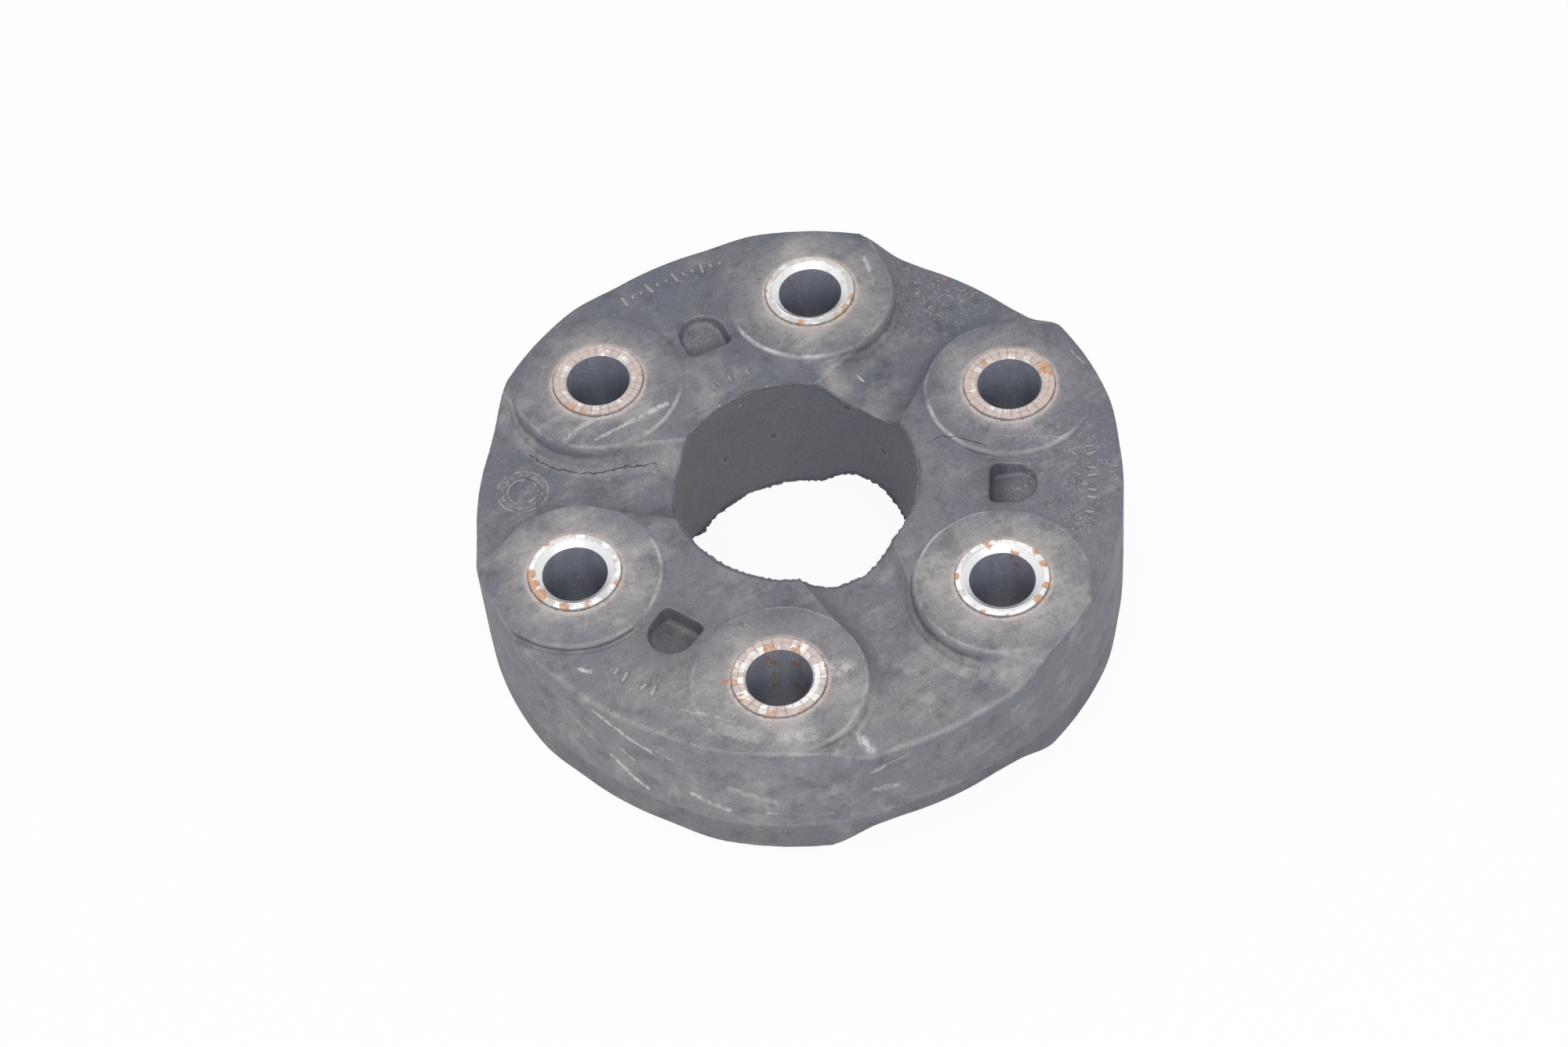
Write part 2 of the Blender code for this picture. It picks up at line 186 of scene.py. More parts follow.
def copy_of(piece: bpy.types.Object, name: str, place: Matrix) -> bpy.types.Object:
    """Return a copy with its own mesh, set at a place in its mesh."""
    made = piece.copy()
    made.data = piece.data.copy()
    made.name = made.data.name = name
    made.data.transform(place)
    if place.determinant() < 0:
        made.data.flip_normals()
    bpy.context.scene.collection.objects.link(made)
    return made


def joined(pieces: Sequence[bpy.types.Object], name: str) -> bpy.types.Object:
    """Join pieces into one and return it."""
    take(pieces[0])
    for piece in pieces[1:]:
        piece.select_set(True)
    bpy.ops.object.join()
    pieces[0].name = pieces[0].data.name = name
    return pieces[0]


def cut(piece: bpy.types.Object, cutter: bpy.types.Object) -> None:
    """Cut one piece out of another and delete the cutter."""
    apply_modifier(piece, "BOOLEAN", operation="DIFFERENCE", object=cutter, solver="MANIFOLD")
    bpy.data.objects.remove(cutter, do_unlink=True)


def report(piece: bpy.types.Object) -> None:
    """Log a finished piece with its number of faces."""
    log.info("%s: %d faces", piece.name, len(piece.data.polygons))


def coordinates(piece: bpy.types.Object) -> np.ndarray:
    """Return the places of a mesh's vertices, one row each."""
    places = np.empty(len(piece.data.vertices) * 3)
    piece.data.vertices.foreach_get("co", places)
    return places.reshape(-1, 3)


def normals(piece: bpy.types.Object) -> np.ndarray:
    """Return the normals of a mesh's vertices, one row each."""
    found = np.empty(len(piece.data.vertices) * 3)
    piece.data.vertex_normals.foreach_get("vector", found)
    return found.reshape(-1, 3)


def set_coordinates(piece: bpy.types.Object, places: np.ndarray) -> None:
    """Move a mesh's vertices."""
    piece.data.vertices.foreach_set("co", places.ravel())
    piece.data.update()


def paint(piece: bpy.types.Object, name: str, values: np.ndarray, low: float = 0.0, high: float = 1.0,
          domain: str = "POINT") -> None:
    """Store a value for each vertex or face as an attribute that materials read.

    Args:
        piece: the piece to paint.
        name: the attribute's name.
        values: one value for each vertex or face.
        low: smallest value kept.
        high: largest value kept.
        domain: POINT for vertices, FACE for faces.
    """
    made = piece.data.attributes.new(name, "FLOAT", domain)
    made.data.foreach_set("value", np.clip(values, low, high).astype(np.float32))


class Nodes:
    """Builds the nodes of one material."""

    def __init__(self, name: str) -> None:
        """Start a material with a Principled shader."""
        self.material = bpy.data.materials.new(name)
        self.material.use_nodes = True
        self.tree = self.material.node_tree
        self.shader = self.tree.nodes["Principled BSDF"]
        self.place = self.add("ShaderNodeTexCoord").outputs["Object"]

    def add(self, kind: str, **settings) -> bpy.types.Node:
        """Add a node and set its properties."""
        node = self.tree.nodes.new(kind)
        for key, value in settings.items():
            setattr(node, key, value)
        return node

    def feed(self, socket: Socket, value: Socket | float | Colour) -> None:
        """Link a socket to an input, or set the input's value."""
        if isinstance(value, bpy.types.NodeSocket):
            self.tree.links.new(value, socket)
        elif socket.type == "RGBA":
            socket.default_value = (*value, 1.0)
        else:
            socket.default_value = value

    def maths(self, operation: str, first: Socket | float, second: Socket | float = 0.0) -> Socket:
        """Return the result of a Math node."""
        node = self.add("ShaderNodeMath", operation=operation)
        self.feed(node.inputs[0], first)
        self.feed(node.inputs[1], second)
        return node.outputs[0]

    def total(self, *values: Socket | float) -> Socket:
        """Return the sum of several values."""
        found = values[0]
        for value in values[1:]:
            found = self.maths("ADD", found, value)
        return found

    def times(self, *values: Socket | float) -> Socket:
        """Return the product of several values."""
        found = values[0]
        for value in values[1:]:
            found = self.maths("MULTIPLY", found, value)
        return found

    def bell(self, value: Socket, middle: float, half: float) -> Socket:
        """Return 1 where a value is the middle one, down to 0 where it is half a width away."""
        return self.span(self.maths("ABSOLUTE", self.maths("SUBTRACT", value, middle)), half, 0.0)

    def vector(self, operation: str, first: Socket, second: Sequence[float] | Socket) -> bpy.types.Node:
        """Return a Vector Math node with its first two inputs fed."""
        node = self.add("ShaderNodeVectorMath", operation=operation)
        self.feed(node.inputs[0], first)
        self.feed(node.inputs[1], second)
        return node

    def flat_place(self) -> Socket:
        """Return the place in mm, brought down to no height."""
        return self.vector("MULTIPLY", self.place, (1 / MM, 1 / MM, 0.0)).outputs["Vector"]

    def away(self, spot: Sequence[float]) -> Socket:
        """Return the distance in mm from a place that is given in mm."""
        node = self.vector("DISTANCE", self.place, [value * MM for value in spot])
        return self.maths("DIVIDE", node.outputs["Value"], MM)

    def away_from_line(self, place: Socket, start: Sequence[float], end: Sequence[float]) -> Socket:
        """Return the distance in mm of a place in mm from the line between two others."""
        along = Vector(end) - Vector(start)
        offset = self.vector("SUBTRACT", place, start).outputs["Vector"]
        share = self.vector("DOT_PRODUCT", offset, along / along.length_squared).outputs["Value"]
        held = self.add("ShaderNodeClamp")
        self.feed(held.inputs["Value"], share)
        nearest = self.add("ShaderNodeVectorMath", operation="SCALE")
        nearest.inputs[0].default_value = along
        self.feed(nearest.inputs["Scale"], held.outputs[0])
        return self.vector("DISTANCE", offset, nearest.outputs["Vector"]).outputs["Value"]

    def shaken(self, grain: float, reach: float, seed: float = 0.0) -> Socket:
        """Return the place in mm, moved about by noise so that lines drawn with it wander."""
        node = self.add("ShaderNodeTexNoise", noise_dimensions="4D")
        self.feed(node.inputs["Vector"], self.place)
        node.inputs["W"].default_value = seed
        node.inputs["Scale"].default_value = 1.0 / grain
        node.inputs["Detail"].default_value = 3.0
        node.inputs["Roughness"].default_value = 0.6
        moved = self.vector("SUBTRACT", node.outputs["Color"], (0.5, 0.5, 0.5)).outputs["Vector"]
        moved = self.vector("MULTIPLY", moved, (2 * reach, 2 * reach, 2 * reach)).outputs["Vector"]
        scaled = self.vector("DIVIDE", self.place, (MM, MM, MM)).outputs["Vector"]
        return self.vector("ADD", scaled, moved).outputs["Vector"]

    def stretched(self, scale: Sequence[float], turn: float = 0.0) -> Socket:
        """Return Object coordinates stretched, after a turn about Z."""
        node = self.add("ShaderNodeMapping", vector_type="TEXTURE")
        self.feed(node.inputs["Vector"], self.place)
        node.inputs["Rotation"].default_value = (0.0, 0.0, turn)
        node.inputs["Scale"].default_value = scale
        return node.outputs[0]

    def noise(self, grain: float, detail: float = 2.0, rough: float = 0.5,
              place: Socket | None = None, seed: float = 0.0) -> Socket:
        """Return noise from 0 to 1, about 0.5.

        Args:
            grain: size of its lumps.
            detail: levels of finer noise in it.
            rough: strength of the finer levels.
            place: coordinates, if not the object's own.
            seed: picks another pattern.

        Returns:
            The noise.
        """
        node = self.add("ShaderNodeTexNoise", noise_dimensions="4D")
        self.feed(node.inputs["Vector"], place or self.place)
        node.inputs["W"].default_value = seed
        node.inputs["Scale"].default_value = 1.0 / grain
        node.inputs["Detail"].default_value = detail
        node.inputs["Roughness"].default_value = rough
        return node.outputs["Fac"]

    def dots(self, spacing: float, size: float, seed: float = 0.0) -> Socket:
        """Return 1 inside small round dots and 0 between them.

        Args:
            spacing: distance between neighbouring dots.
            size: radius of a dot as a share of the spacing.
            seed: picks another pattern.

        Returns:
            The mask.
        """
        node = self.add("ShaderNodeTexVoronoi", voronoi_dimensions="4D")
        self.feed(node.inputs["Vector"], self.place)
        node.inputs["W"].default_value = seed
        node.inputs["Scale"].default_value = 1.0 / spacing
        return self.span(node.outputs["Distance"], size, 0.0)

    def span(self, value: Socket, low: float, high: float) -> Socket:
        """Return how far a value lies from low to high, as 0 to 1."""
        node = self.add("ShaderNodeMapRange", interpolation_type="SMOOTHSTEP")
        self.feed(node.inputs["Value"], value)
        node.inputs["From Min"].default_value = low
        node.inputs["From Max"].default_value = high
        return node.outputs[0]

    def blend(self, share: Socket | float, first: Socket | Colour, second: Socket | Colour) -> Socket:
        """Return a mix of two colours."""
        node = self.add("ShaderNodeMix", data_type="RGBA")
        self.feed(node.inputs["Factor"], share)
        self.feed(node.inputs[6], first)
        self.feed(node.inputs[7], second)
        return node.outputs[2]

    def attribute(self, name: str) -> Socket:
        """Return a painted attribute of the mesh."""
        node = self.add("ShaderNodeAttribute", attribute_name=name, attribute_type="GEOMETRY")
        return node.outputs["Fac"]

    def bump(self, height: Socket, depth: float = MM) -> None:
        """Give the shader a relief.

        Args:
            height: the relief.
            depth: what a height of 1 stands for.
        """
        node = self.add("ShaderNodeBump")
        self.feed(node.inputs["Height"], height)
        node.inputs["Distance"].default_value = depth
        self.tree.links.new(node.outputs[0], self.shader.inputs["Normal"])

    def finish(self, colour: Socket | Colour, roughness: Socket | float,
               metallic: Socket | float = 0.0) -> bpy.types.Material:
        """Feed the shader and return the material."""
        self.feed(self.shader.inputs["Base Color"], colour)
        self.feed(self.shader.inputs["Roughness"], roughness)
        self.feed(self.shader.inputs["Metallic"], metallic)
        return self.material


def on_wall(degrees: float, height: float) -> tuple[float, float, float]:
    """Return a place on the rim's wall, in mm, from its direction and its height."""
    wall = 71.0
    return wall * math.cos(math.radians(degrees)), wall * math.sin(math.radians(degrees)), height


@dataclass(frozen=True)
class Stroke:
    """A chalky streak between two places, in mm."""

    start: tuple[float, float, float]
    end: tuple[float, float, float]
    width: float
    strength: float

    @classmethod
    def on_face(cls, start: tuple[float, float], end: tuple[float, float],
                width: float, strength: float) -> "Stroke":
        """Make a streak on the upper face, where heights don't count."""
        return cls((*start, 0.0), (*end, 0.0), width, strength)

    @classmethod
    def on_wall(cls, start: tuple[float, float], end: tuple[float, float],
                width: float, strength: float) -> "Stroke":
        """Make a streak on the wall from the directions and heights of its ends."""
        return cls(on_wall(*start), on_wall(*end), width, strength)


@dataclass(frozen=True)
class RubberFinish:
    """Old black rubber with a film of dust, chalky flecks, scratches and cracks, and painted light: lighter
    dust towards the front, painted highlights and shadows at the bosses' edges, and painted shade under the
    mould line, in the recesses and along the hole's edge.
    """

    clean: Colour = (0.136, 0.146, 0.184)
    faded: Colour = (0.160, 0.165, 0.192)
    dust_and_light: Colour = (0.420, 0.395, 0.390)
    chalk: Colour = (0.72, 0.71, 0.70)
    grime_and_shade: Colour = (0.030, 0.031, 0.036)
    roughness: float = 0.60
    arm_rings: tuple[float, float, float] = (-60.3, -0.1, 31.0)
    mould_circle: tuple[float, float, float] = (31.2, -53.3, 31.2)
    rust: Colour = (0.50, 0.24, 0.13)
    crust: Colour = (0.60, 0.51, 0.46)
    pitch_radius: float = 52.5
    boss_radius: float = 18.6
    sleeve_count: int = 6
    rust_spots: tuple[tuple[float, float, float], ...] = (
        (-11.3, -53.5, 0.9), (29.7, 61.6, 0.6), (-10.6, -50.0, 0.5), (10.6, -55.5, 0.4),
    )
    pits: tuple[tuple[float, float, float], ...] = (
        (-7.65, 25.65, 19.0), (-18.05, 19.77, 18.1), (24.18, 11.48, 28.1), (17.38, 20.35, 20.8),
        (9.37, 25.07, 30.1),
    )
    nubs: tuple[tuple[float, float, float], ...] = (
        (-8.0, 25.8, 36.6), (-18.1, 20.3, 36.6), (8.4, 25.9, 31.6), (-13.8, 22.9, 33.0), (-3.8, -69.3, 11.8),
    )

    face_strokes: tuple[Stroke, ...] = (
        Stroke.on_face((-51.4, 10.1), (-44.3, 16.8), 0.8, 0.6),
        Stroke.on_face((-44.5, 10.2), (-37.0, 15.2), 0.5, 0.7),
        Stroke.on_face((-37.0, 15.2), (-29.8, 20.3), 0.7, 0.8),
        Stroke.on_face((11.0, -49.9), (14.2, -49.2), 1.9, 0.55),
        Stroke.on_face((11.5, 32.6), (13.0, 31.7), 0.3, 1.0),
        Stroke.on_face((17.6, -64.6), (19.2, -65.6), 1.4, 1.0),
        Stroke.on_face((-42.1, -50.4), (-39.9, -51.0), 0.6, 1.0),
        Stroke.on_face((2.5, -67.0), (7.0, -66.2), 2.2, 0.40),
        Stroke.on_face((-9.0, -65.5), (-4.0, -67.0), 2.0, 0.35),
        Stroke.on_face((7.5, 59.5), (9.5, 56.5), 0.6, 0.45),
        Stroke.on_face((11.6, 63.0), (13.2, 58.5), 0.6, 0.7),
        Stroke.on_face((59.0, 36.0), (61.5, 33.0), 0.4, 0.4),
        Stroke.on_face((43.0, 12.5), (58.0, 12.0), 0.25, 0.35),
        Stroke.on_face((-20.0, -60.0), (-8.0, -63.5), 0.3, 0.35),
    )
    wall_strokes: tuple[Stroke, ...] = (
        Stroke.on_wall((237.0, 34.0), (242.5, 31.3), 0.6, 0.8),
        Stroke.on_wall((242.5, 31.0), (248.0, 28.7), 0.7, 1.0),
        Stroke.on_wall((239.4, 19.6), (242.6, 16.5), 0.8, 0.9),
        Stroke.on_wall((242.6, 16.0), (245.9, 13.4), 0.7, 1.0),
        Stroke.on_wall((241.0, 25.5), (244.0, 22.5), 0.5, 0.7),
        Stroke.on_wall((295.8, 20.1), (301.0, 20.3), 0.5, 0.9),
        Stroke.on_wall((301.0, 20.3), (306.5, 20.6), 0.35, 0.8),
        Stroke.on_wall((286.3, 26.3), (292.6, 28.5), 0.7, 0.7),
        Stroke.on_wall((319.7, 17.4), (325.1, 20.1), 0.45, 0.8),
        Stroke.on_wall((255.1, 17.6), (261.1, 14.7), 1.0, 0.8),
        Stroke.on_wall((262.0, 23.0), (270.0, 19.0), 1.2, 0.4),
        Stroke.on_wall((268.0, 15.0), (279.0, 14.2), 0.7, 0.7),
        Stroke.on_wall((286.5, 19.5), (290.5, 18.5), 1.1, 0.6),
        Stroke.on_wall((312.4, 25.5), (314.2, 26.2), 0.4, 0.8),
        Stroke.on_wall((248.0, 30.0), (258.0, 25.5), 0.3, 0.5),
        Stroke.on_wall((230.0, 27.0), (236.0, 22.0), 0.35, 0.6),
        Stroke.on_wall((263.0, 28.0), (276.0, 26.0), 0.35, 0.4),
    )
    face_cracks: tuple[tuple[tuple[float, float, float], ...], ...] = (
        ((-60.0, 10.0, 0.0), (-54.5, 6.2, 0.0), (-48.2, 4.6, 0.0), (-43.0, 4.9, 0.0), (-37.9, 6.1, 0.0),
         (-31.1, 6.9, 0.0)),
        ((28.0, 10.5, 0.0), (31.5, 12.6, 0.0), (36.5, 11.2, 0.0), (41.0, 9.6, 0.0)),
    )
    wall_cracks: tuple[tuple[tuple[float, float, float], ...], ...] = (
        (on_wall(262.0, 10.6), on_wall(268.2, 8.6), on_wall(275.4, 6.6), on_wall(281.0, 8.0)),
    )

    def material(self) -> bpy.types.Material:
        """Build the rubber's nodes."""
        n = Nodes("worn_rubber")
        broad = n.noise(24 * MM, 3.0, 0.5)
        cloud = n.noise(8 * MM, 4.0, 0.6, seed=1.0)
        mottle = n.noise(1.7 * MM, 4.0, 0.65, seed=3.0)
        grain = n.noise(0.4 * MM, 2.0, 0.6, seed=5.0)
        wiped = n.noise(1.6 * MM, 3.0, 0.6, place=n.stretched((7.0, 1.0, 3.0), math.radians(35.0)), seed=2.0)
        rubbed = n.noise(1.2 * MM, 3.0, 0.6, place=n.stretched((8.0, 8.0, 1.0)), seed=12.0)
        wall = n.attribute("wall")
        base = n.blend(n.span(broad, 0.35, 0.65), self.clean, self.faded)
        drift = n.times(n.maths("SUBTRACT", rubbed, wiped), wall)
        uneven = n.total(n.times(cloud, 1.5), n.times(mottle, 1.0), n.times(n.total(wiped, drift), 0.9),
                         n.times(grain, 0.6), -1.00)
        smudge = n.times(n.span(n.total(cloud, n.times(wiped, 0.5), n.times(mottle, 0.3)), 0.90, 1.16), 0.30)
        seen = n.total(wall, n.attribute("upper"))
        # the painted dust attribute holds dust together with painted light that is lighter towards the front
        film = n.total(n.times(n.attribute("dust_and_light"), uneven), n.times(smudge, seen))
        colour = n.blend(film, base, self.dust_and_light)
        shade = n.span(n.noise(4.5 * MM, 4.0, 0.65, seed=15.0), 0.50, 0.34)
        colour = n.blend(n.times(shade, seen, 0.30), colour, self.grime_and_shade)
        # painted shade: the wall below the mould line is darkened
        height = n.add("ShaderNodeSeparateXYZ")
        n.feed(height.inputs[0], n.place)
        level = n.total(height.outputs["Z"], n.times(mottle, 0.5 * MM))
        below = n.times(wall, n.span(level, 10.6 * MM, 9.8 * MM))
        colour = n.blend(n.times(below, 0.26), colour, self.grime_and_shade)
        pale = n.times(n.span(grain, 0.52, 0.78), n.total(n.times(mottle, 0.55), 0.05))
        colour = n.blend(pale, colour, self.dust_and_light)
        colour = n.blend(n.times(n.span(grain, 0.46, 0.28), 0.30), colour, self.grime_and_shade)
        fine = n.span(n.noise(1.3 * MM, 3.0, 0.65, seed=13.0), 0.42, 0.27)
        colour = n.blend(n.times(fine, 0.30), colour, self.grime_and_shade)
        colour, edges = self.boss_edges(n, colour, mottle, cloud)
        colour, flecks = self.flecks(n, colour, mottle, grain)
        # painted shade in the recesses and under the torn flash at the hole's edge; the flash rings are
        # darkened too
        colour = n.blend(n.times(n.attribute("grime_and_shade"), n.total(n.times(cloud, 0.6), 0.7)), colour, self.grime_and_shade)
        colour, marks = self.marks(n, colour, mottle)
        colour = self.stains(n, colour, mottle, grain)
        colour, crack = self.crack(n, colour)
        relief = n.total(n.times(mottle, 0.07), n.times(grain, 0.035), edges, flecks, marks, crack)
        n.bump(relief)
        n.shader.inputs["Specular IOR Level"].default_value = 0.35
        return n.finish(colour, n.total(n.times(mottle, 0.18), self.roughness - 0.09))

    def nearest_sleeve(self, n: Nodes) -> Socket:
        """Return the distance in mm from the nearest sleeve's axis."""
        flat = n.flat_place()
        found = None
        for number in range(self.sleeve_count):
            angle = math.tau * (number + 0.5) / self.sleeve_count
            spot = (self.pitch_radius * math.cos(angle), self.pitch_radius * math.sin(angle), 0.0)
            away = n.vector("DISTANCE", flat, spot).outputs["Value"]
            found = n.maths("MINIMUM", found, away) if found else away
        return found

    def stains(self, n: Nodes, colour: Socket, mottle: Socket, grain: Socket) -> Socket:
        """Lay a tan crust round each sleeve and spots of rust on the rubber.

        Args:
            n: the material.
            colour: the colour so far.
            mottle: noise that breaks the crust up.
            grain: fine noise.

        Returns:
            The colour with the stains.
        """
        near = n.total(self.nearest_sleeve(n), n.times(mottle, 0.5), -0.25)
        broken = n.span(n.total(mottle, n.times(grain, 0.6)), 0.66, 0.92)
        crust = n.times(n.bell(near, 10.45, 0.8), n.total(n.times(broken, 0.75), 0.28))
        colour = n.blend(n.times(crust, n.attribute("upper")), colour, self.crust)
        flat = n.flat_place()
        for x, y, reach in self.rust_spots:
            away = n.vector("DISTANCE", flat, (x, y, 0.0)).outputs["Value"]
            spot = n.span(n.total(away, n.times(mottle, reach)), 1.6 * reach, 0.9 * reach)
            colour = n.blend(n.times(spot, n.attribute("upper"), 0.8), colour, self.rust)
        return colour

    def boss_edges(self, n: Nodes, colour: Socket, mottle: Socket, cloud: Socket) -> tuple[Socket, Socket]:
        """Paint highlights over chalky rub on the bosses' edges, and painted shadow lines in the creases
        beside them.

        Args:
            n: the material.
            colour: the colour so far.
            mottle: noise that breaks the lines up.
            cloud: noise that lets them come and go.

        Returns:
            The colour with the lines, and their relief in mm.
        """
        gap = n.total(self.nearest_sleeve(n), n.times(mottle, 0.5), n.times(cloud, 0.5),
                      -self.boss_radius - 0.5)
        broken = n.total(n.times(n.span(mottle, 0.36, 0.6), 0.65), 0.35)
        # painted highlight along the bosses' edges, blended with chalk where the edge is rubbed
        light = n.times(n.attribute("bead_highlight"), n.bell(gap, -0.15, 0.65))
        # painted shadow in the crease beside the edge, and a second line further out
        dark = n.times(n.attribute("crease_shadow"), n.bell(gap, 0.7, 0.5))
        second = n.times(n.attribute("crease_shadow"), n.bell(gap, 1.9, 0.45), 0.45)
        crest = n.times(n.bell(n.total(n.attribute("crest"), n.times(mottle, 0.4)), 0.0, 0.55), broken)
        colour = n.blend(n.times(crest, 0.14), colour, self.chalk)
        colour = n.blend(n.times(light, broken, 0.72), colour, self.chalk)
        colour = n.blend(n.times(n.maths("MAXIMUM", dark, second), 0.7), colour, self.grime_and_shade)
        return colour, n.total(n.times(light, 0.10), n.times(dark, -0.16), n.times(second, -0.12))

    def flecks(self, n: Nodes, colour: Socket, mottle: Socket, grain: Socket) -> tuple[Socket, Socket]:
        """Add chalky scratches, curled flecks and stray white specks.

        Args:
            n: the material.
            colour: the colour so far.
            mottle: noise that breaks the scratches up.
            grain: fine noise.

        Returns:
            The colour with the flecks, and their relief in mm.
        """
        broken = n.span(n.total(mottle, n.times(grain, 0.6)), 0.66, 0.90)
        place = n.shaken(1.1 * MM, 0.45, 14.0)
        levels = []
        for side, strokes in (("upper", self.face_strokes), ("wall", self.wall_strokes)):
            here = n.vector("MULTIPLY", place, (1.0, 1.0, float(side == "wall"))).outputs["Vector"]
            found = 0.0
            for stroke in strokes:
                away = n.away_from_line(here, stroke.start, stroke.end)
                level = n.times(n.span(away, 1.3 * stroke.width, 0.25 * stroke.width), stroke.strength)
                found = n.maths("MAXIMUM", level, found)
            levels.append(n.times(found, n.attribute(side)))
        scratch = n.times(n.total(*levels), n.total(n.times(broken, 0.85), 0.10))
        curl = n.bell(n.noise(1.1 * MM, 2.0, 0.55, seed=8.0), 0.5, 0.026)
        here = n.span(n.noise(2.2 * MM, 2.0, 0.5, seed=9.0), 0.40, 0.53)
        crowded = n.span(n.noise(2.6 * MM, 2.0, 0.5, seed=8.0), 0.40, 0.54)
        crumbs = n.times(n.dots(0.8 * MM, 0.36, 1.0), crowded)
        fleck = n.times(n.attribute("specks"), n.maths("MAXIMUM", n.times(curl, here), crumbs))
        sparse = n.span(n.noise(7 * MM, 1.0, 0.5, seed=4.0), 0.46, 0.58)
        stray = n.times(n.dots(2.2 * MM, 0.10, 2.0), sparse, 0.75)
        seen = n.total(n.attribute("upper"), n.attribute("wall"))
        white = n.maths("MAXIMUM", n.maths("MAXIMUM", scratch, fleck), n.times(stray, seen))
        return n.blend(n.times(white, 0.9), colour, self.chalk), n.times(fleck, 0.12)

    def marks(self, n: Nodes, colour: Socket, mottle: Socket) -> tuple[Socket, Socket]:
        """Mould two rings on the thin arms, and pits and nubs round the centre hole.

        Args:
            n: the material.
            colour: the colour so far.
            mottle: noise that wears the rings.

        Returns:
            The colour with the marks, and their relief in mm.
        """
        ringed, circle = n.away(self.arm_rings), n.away(self.mould_circle)
        worn = n.span(mottle, 0.38, 0.58)
        rings = n.maths("MAXIMUM", n.bell(ringed, 5.6, 0.45), n.bell(ringed, 3.3, 0.5))
        floor = n.times(n.bell(ringed, 4.45, 0.9), n.span(n.noise(0.9 * MM, 2.0, 0.6, seed=6.0), 0.45, 0.6))
        mould = n.bell(circle, 3.2, 0.28)
        light = n.total(n.times(rings, worn, 0.38), n.times(floor, 0.25), n.times(mould, worn, 0.16))
        relief = n.total(n.times(rings, 0.22), n.times(floor, 0.12), n.times(mould, 0.16))
        colour = n.blend(light, colour, self.chalk)
        for spot in self.pits:
            away = n.away(spot)
            colour = n.blend(n.times(n.bell(away, 0.0, 0.95), 0.42), colour, self.grime_and_shade)
            colour = n.blend(n.times(n.bell(away, 1.15, 0.3), 0.10), colour, self.chalk)
            relief = n.total(relief, n.times(n.bell(away, 0.0, 1.1), -0.45))
        for spot in self.nubs:
            away = n.away(spot)
            colour = n.blend(n.times(n.bell(away, 0.0, 0.8), 0.35), colour, self.chalk)
            relief = n.total(relief, n.times(n.bell(away, 0.0, 1.0), 0.5))
        return colour, relief

    def crack(self, n: Nodes, colour: Socket) -> tuple[Socket, Socket]:
        """Open the fine cracks along their lines.

        Args:
            n: the material.
            colour: the colour so far.

        Returns:
            The colour with the cracks, and their relief in mm.
        """
        place = n.shaken(2.6 * MM, 1.0, 7.0)
        levels = []
        for side, cracks in (("upper", self.face_cracks), ("wall", self.wall_cracks)):
            here = n.vector("MULTIPLY", place, (1.0, 1.0, float(side == "wall"))).outputs["Vector"]
            away = 9.0
            for crack in cracks:
                for start, end in zip(crack, crack[1:]):
                    away = n.maths("MINIMUM", n.away_from_line(here, start, end), away)
            levels.append(n.times(n.bell(away, 0.0, 0.15), n.attribute(side)))
        broken = n.span(n.noise(2.0 * MM, 2.0, 0.6, seed=11.0), 0.36, 0.5)
        line = n.times(n.total(*levels), n.total(n.times(broken, 0.6), 0.4))
        return n.blend(n.times(line, 0.85), colour, self.grime_and_shade), n.times(line, -0.2)


class SleeveEnd(Enum):
    """How the end face of a sleeve is finished."""

    BEVELLED = "bevelled"
    SERRATED = "serrated"


@dataclass(frozen=True)
class SleeveFinish:
    """Steel of a sleeve's end, turned bright or under a film of rust, with orange patches."""

    name: str
    steel: Colour
    film: Colour
    film_cover: float
    outer_film: float = 0.12
    patch: Colour = (0.56, 0.27, 0.14)
    pale_patch: Colour = (0.72, 0.50, 0.38)
    dirt: Colour = (0.15, 0.125, 0.115)
    roughness: float = 0.34

    def material(self) -> bpy.types.Material:
        """Build the steel's nodes."""
        n = Nodes(self.name)
        radius, tone = n.attribute("radial"), n.attribute("tone")
        turned_place = n.add("ShaderNodeCombineXYZ")
        n.feed(turned_place.inputs["X"], radius)
        rings = n.noise(0.16, 3.0, 0.7, place=turned_place.outputs[0])
        grain = n.noise(0.35 * MM, 3.0, 0.6, seed=2.0)
        ragged = n.noise(1.7 * MM, 5.0, 0.72, seed=6.0)
        outer = n.span(radius, 8.5, 8.8)
        cover = n.total(n.times(outer, self.outer_film), self.film_cover - 0.65)
        film = n.span(n.total(ragged, n.times(tone, 0.26), cover), 0.40, 0.64)
        rusty = n.total(n.attribute("rust"), n.times(ragged, 2.6), n.times(grain, 0.5), -1.55)
        patch = n.span(rusty, 0.36, 0.72)
        steel = n.blend(n.span(rings, 0.35, 0.65), self.steel, tuple(0.72 * value for value in self.steel))
        colour = n.blend(n.times(film, 0.9), steel, self.film)
        colour = n.blend(patch, colour, n.blend(n.span(grain, 0.35, 0.65), self.patch, self.pale_patch))
        pressed = n.times(n.attribute("groove"), n.span(ragged, 0.40, 0.60), 0.45)
        colour = n.blend(pressed, colour, self.dirt)
        lip = n.total(n.times(n.bell(radius, 9.95, 0.2), 0.6), n.times(n.bell(radius, 8.62, 0.14), 0.5))
        colour = n.blend(n.times(lip, n.span(ragged, 0.35, 0.55)), colour, self.dirt)
        rust = n.maths("MAXIMUM", film, patch)
        n.bump(n.total(n.times(grain, 0.03), n.times(rings, 0.03), n.times(patch, 0.05)))
        roughness = n.total(n.times(rust, 0.3), self.roughness)
        return n.finish(colour, roughness, n.maths("SUBTRACT", 1.0, n.times(rust, 0.9)))


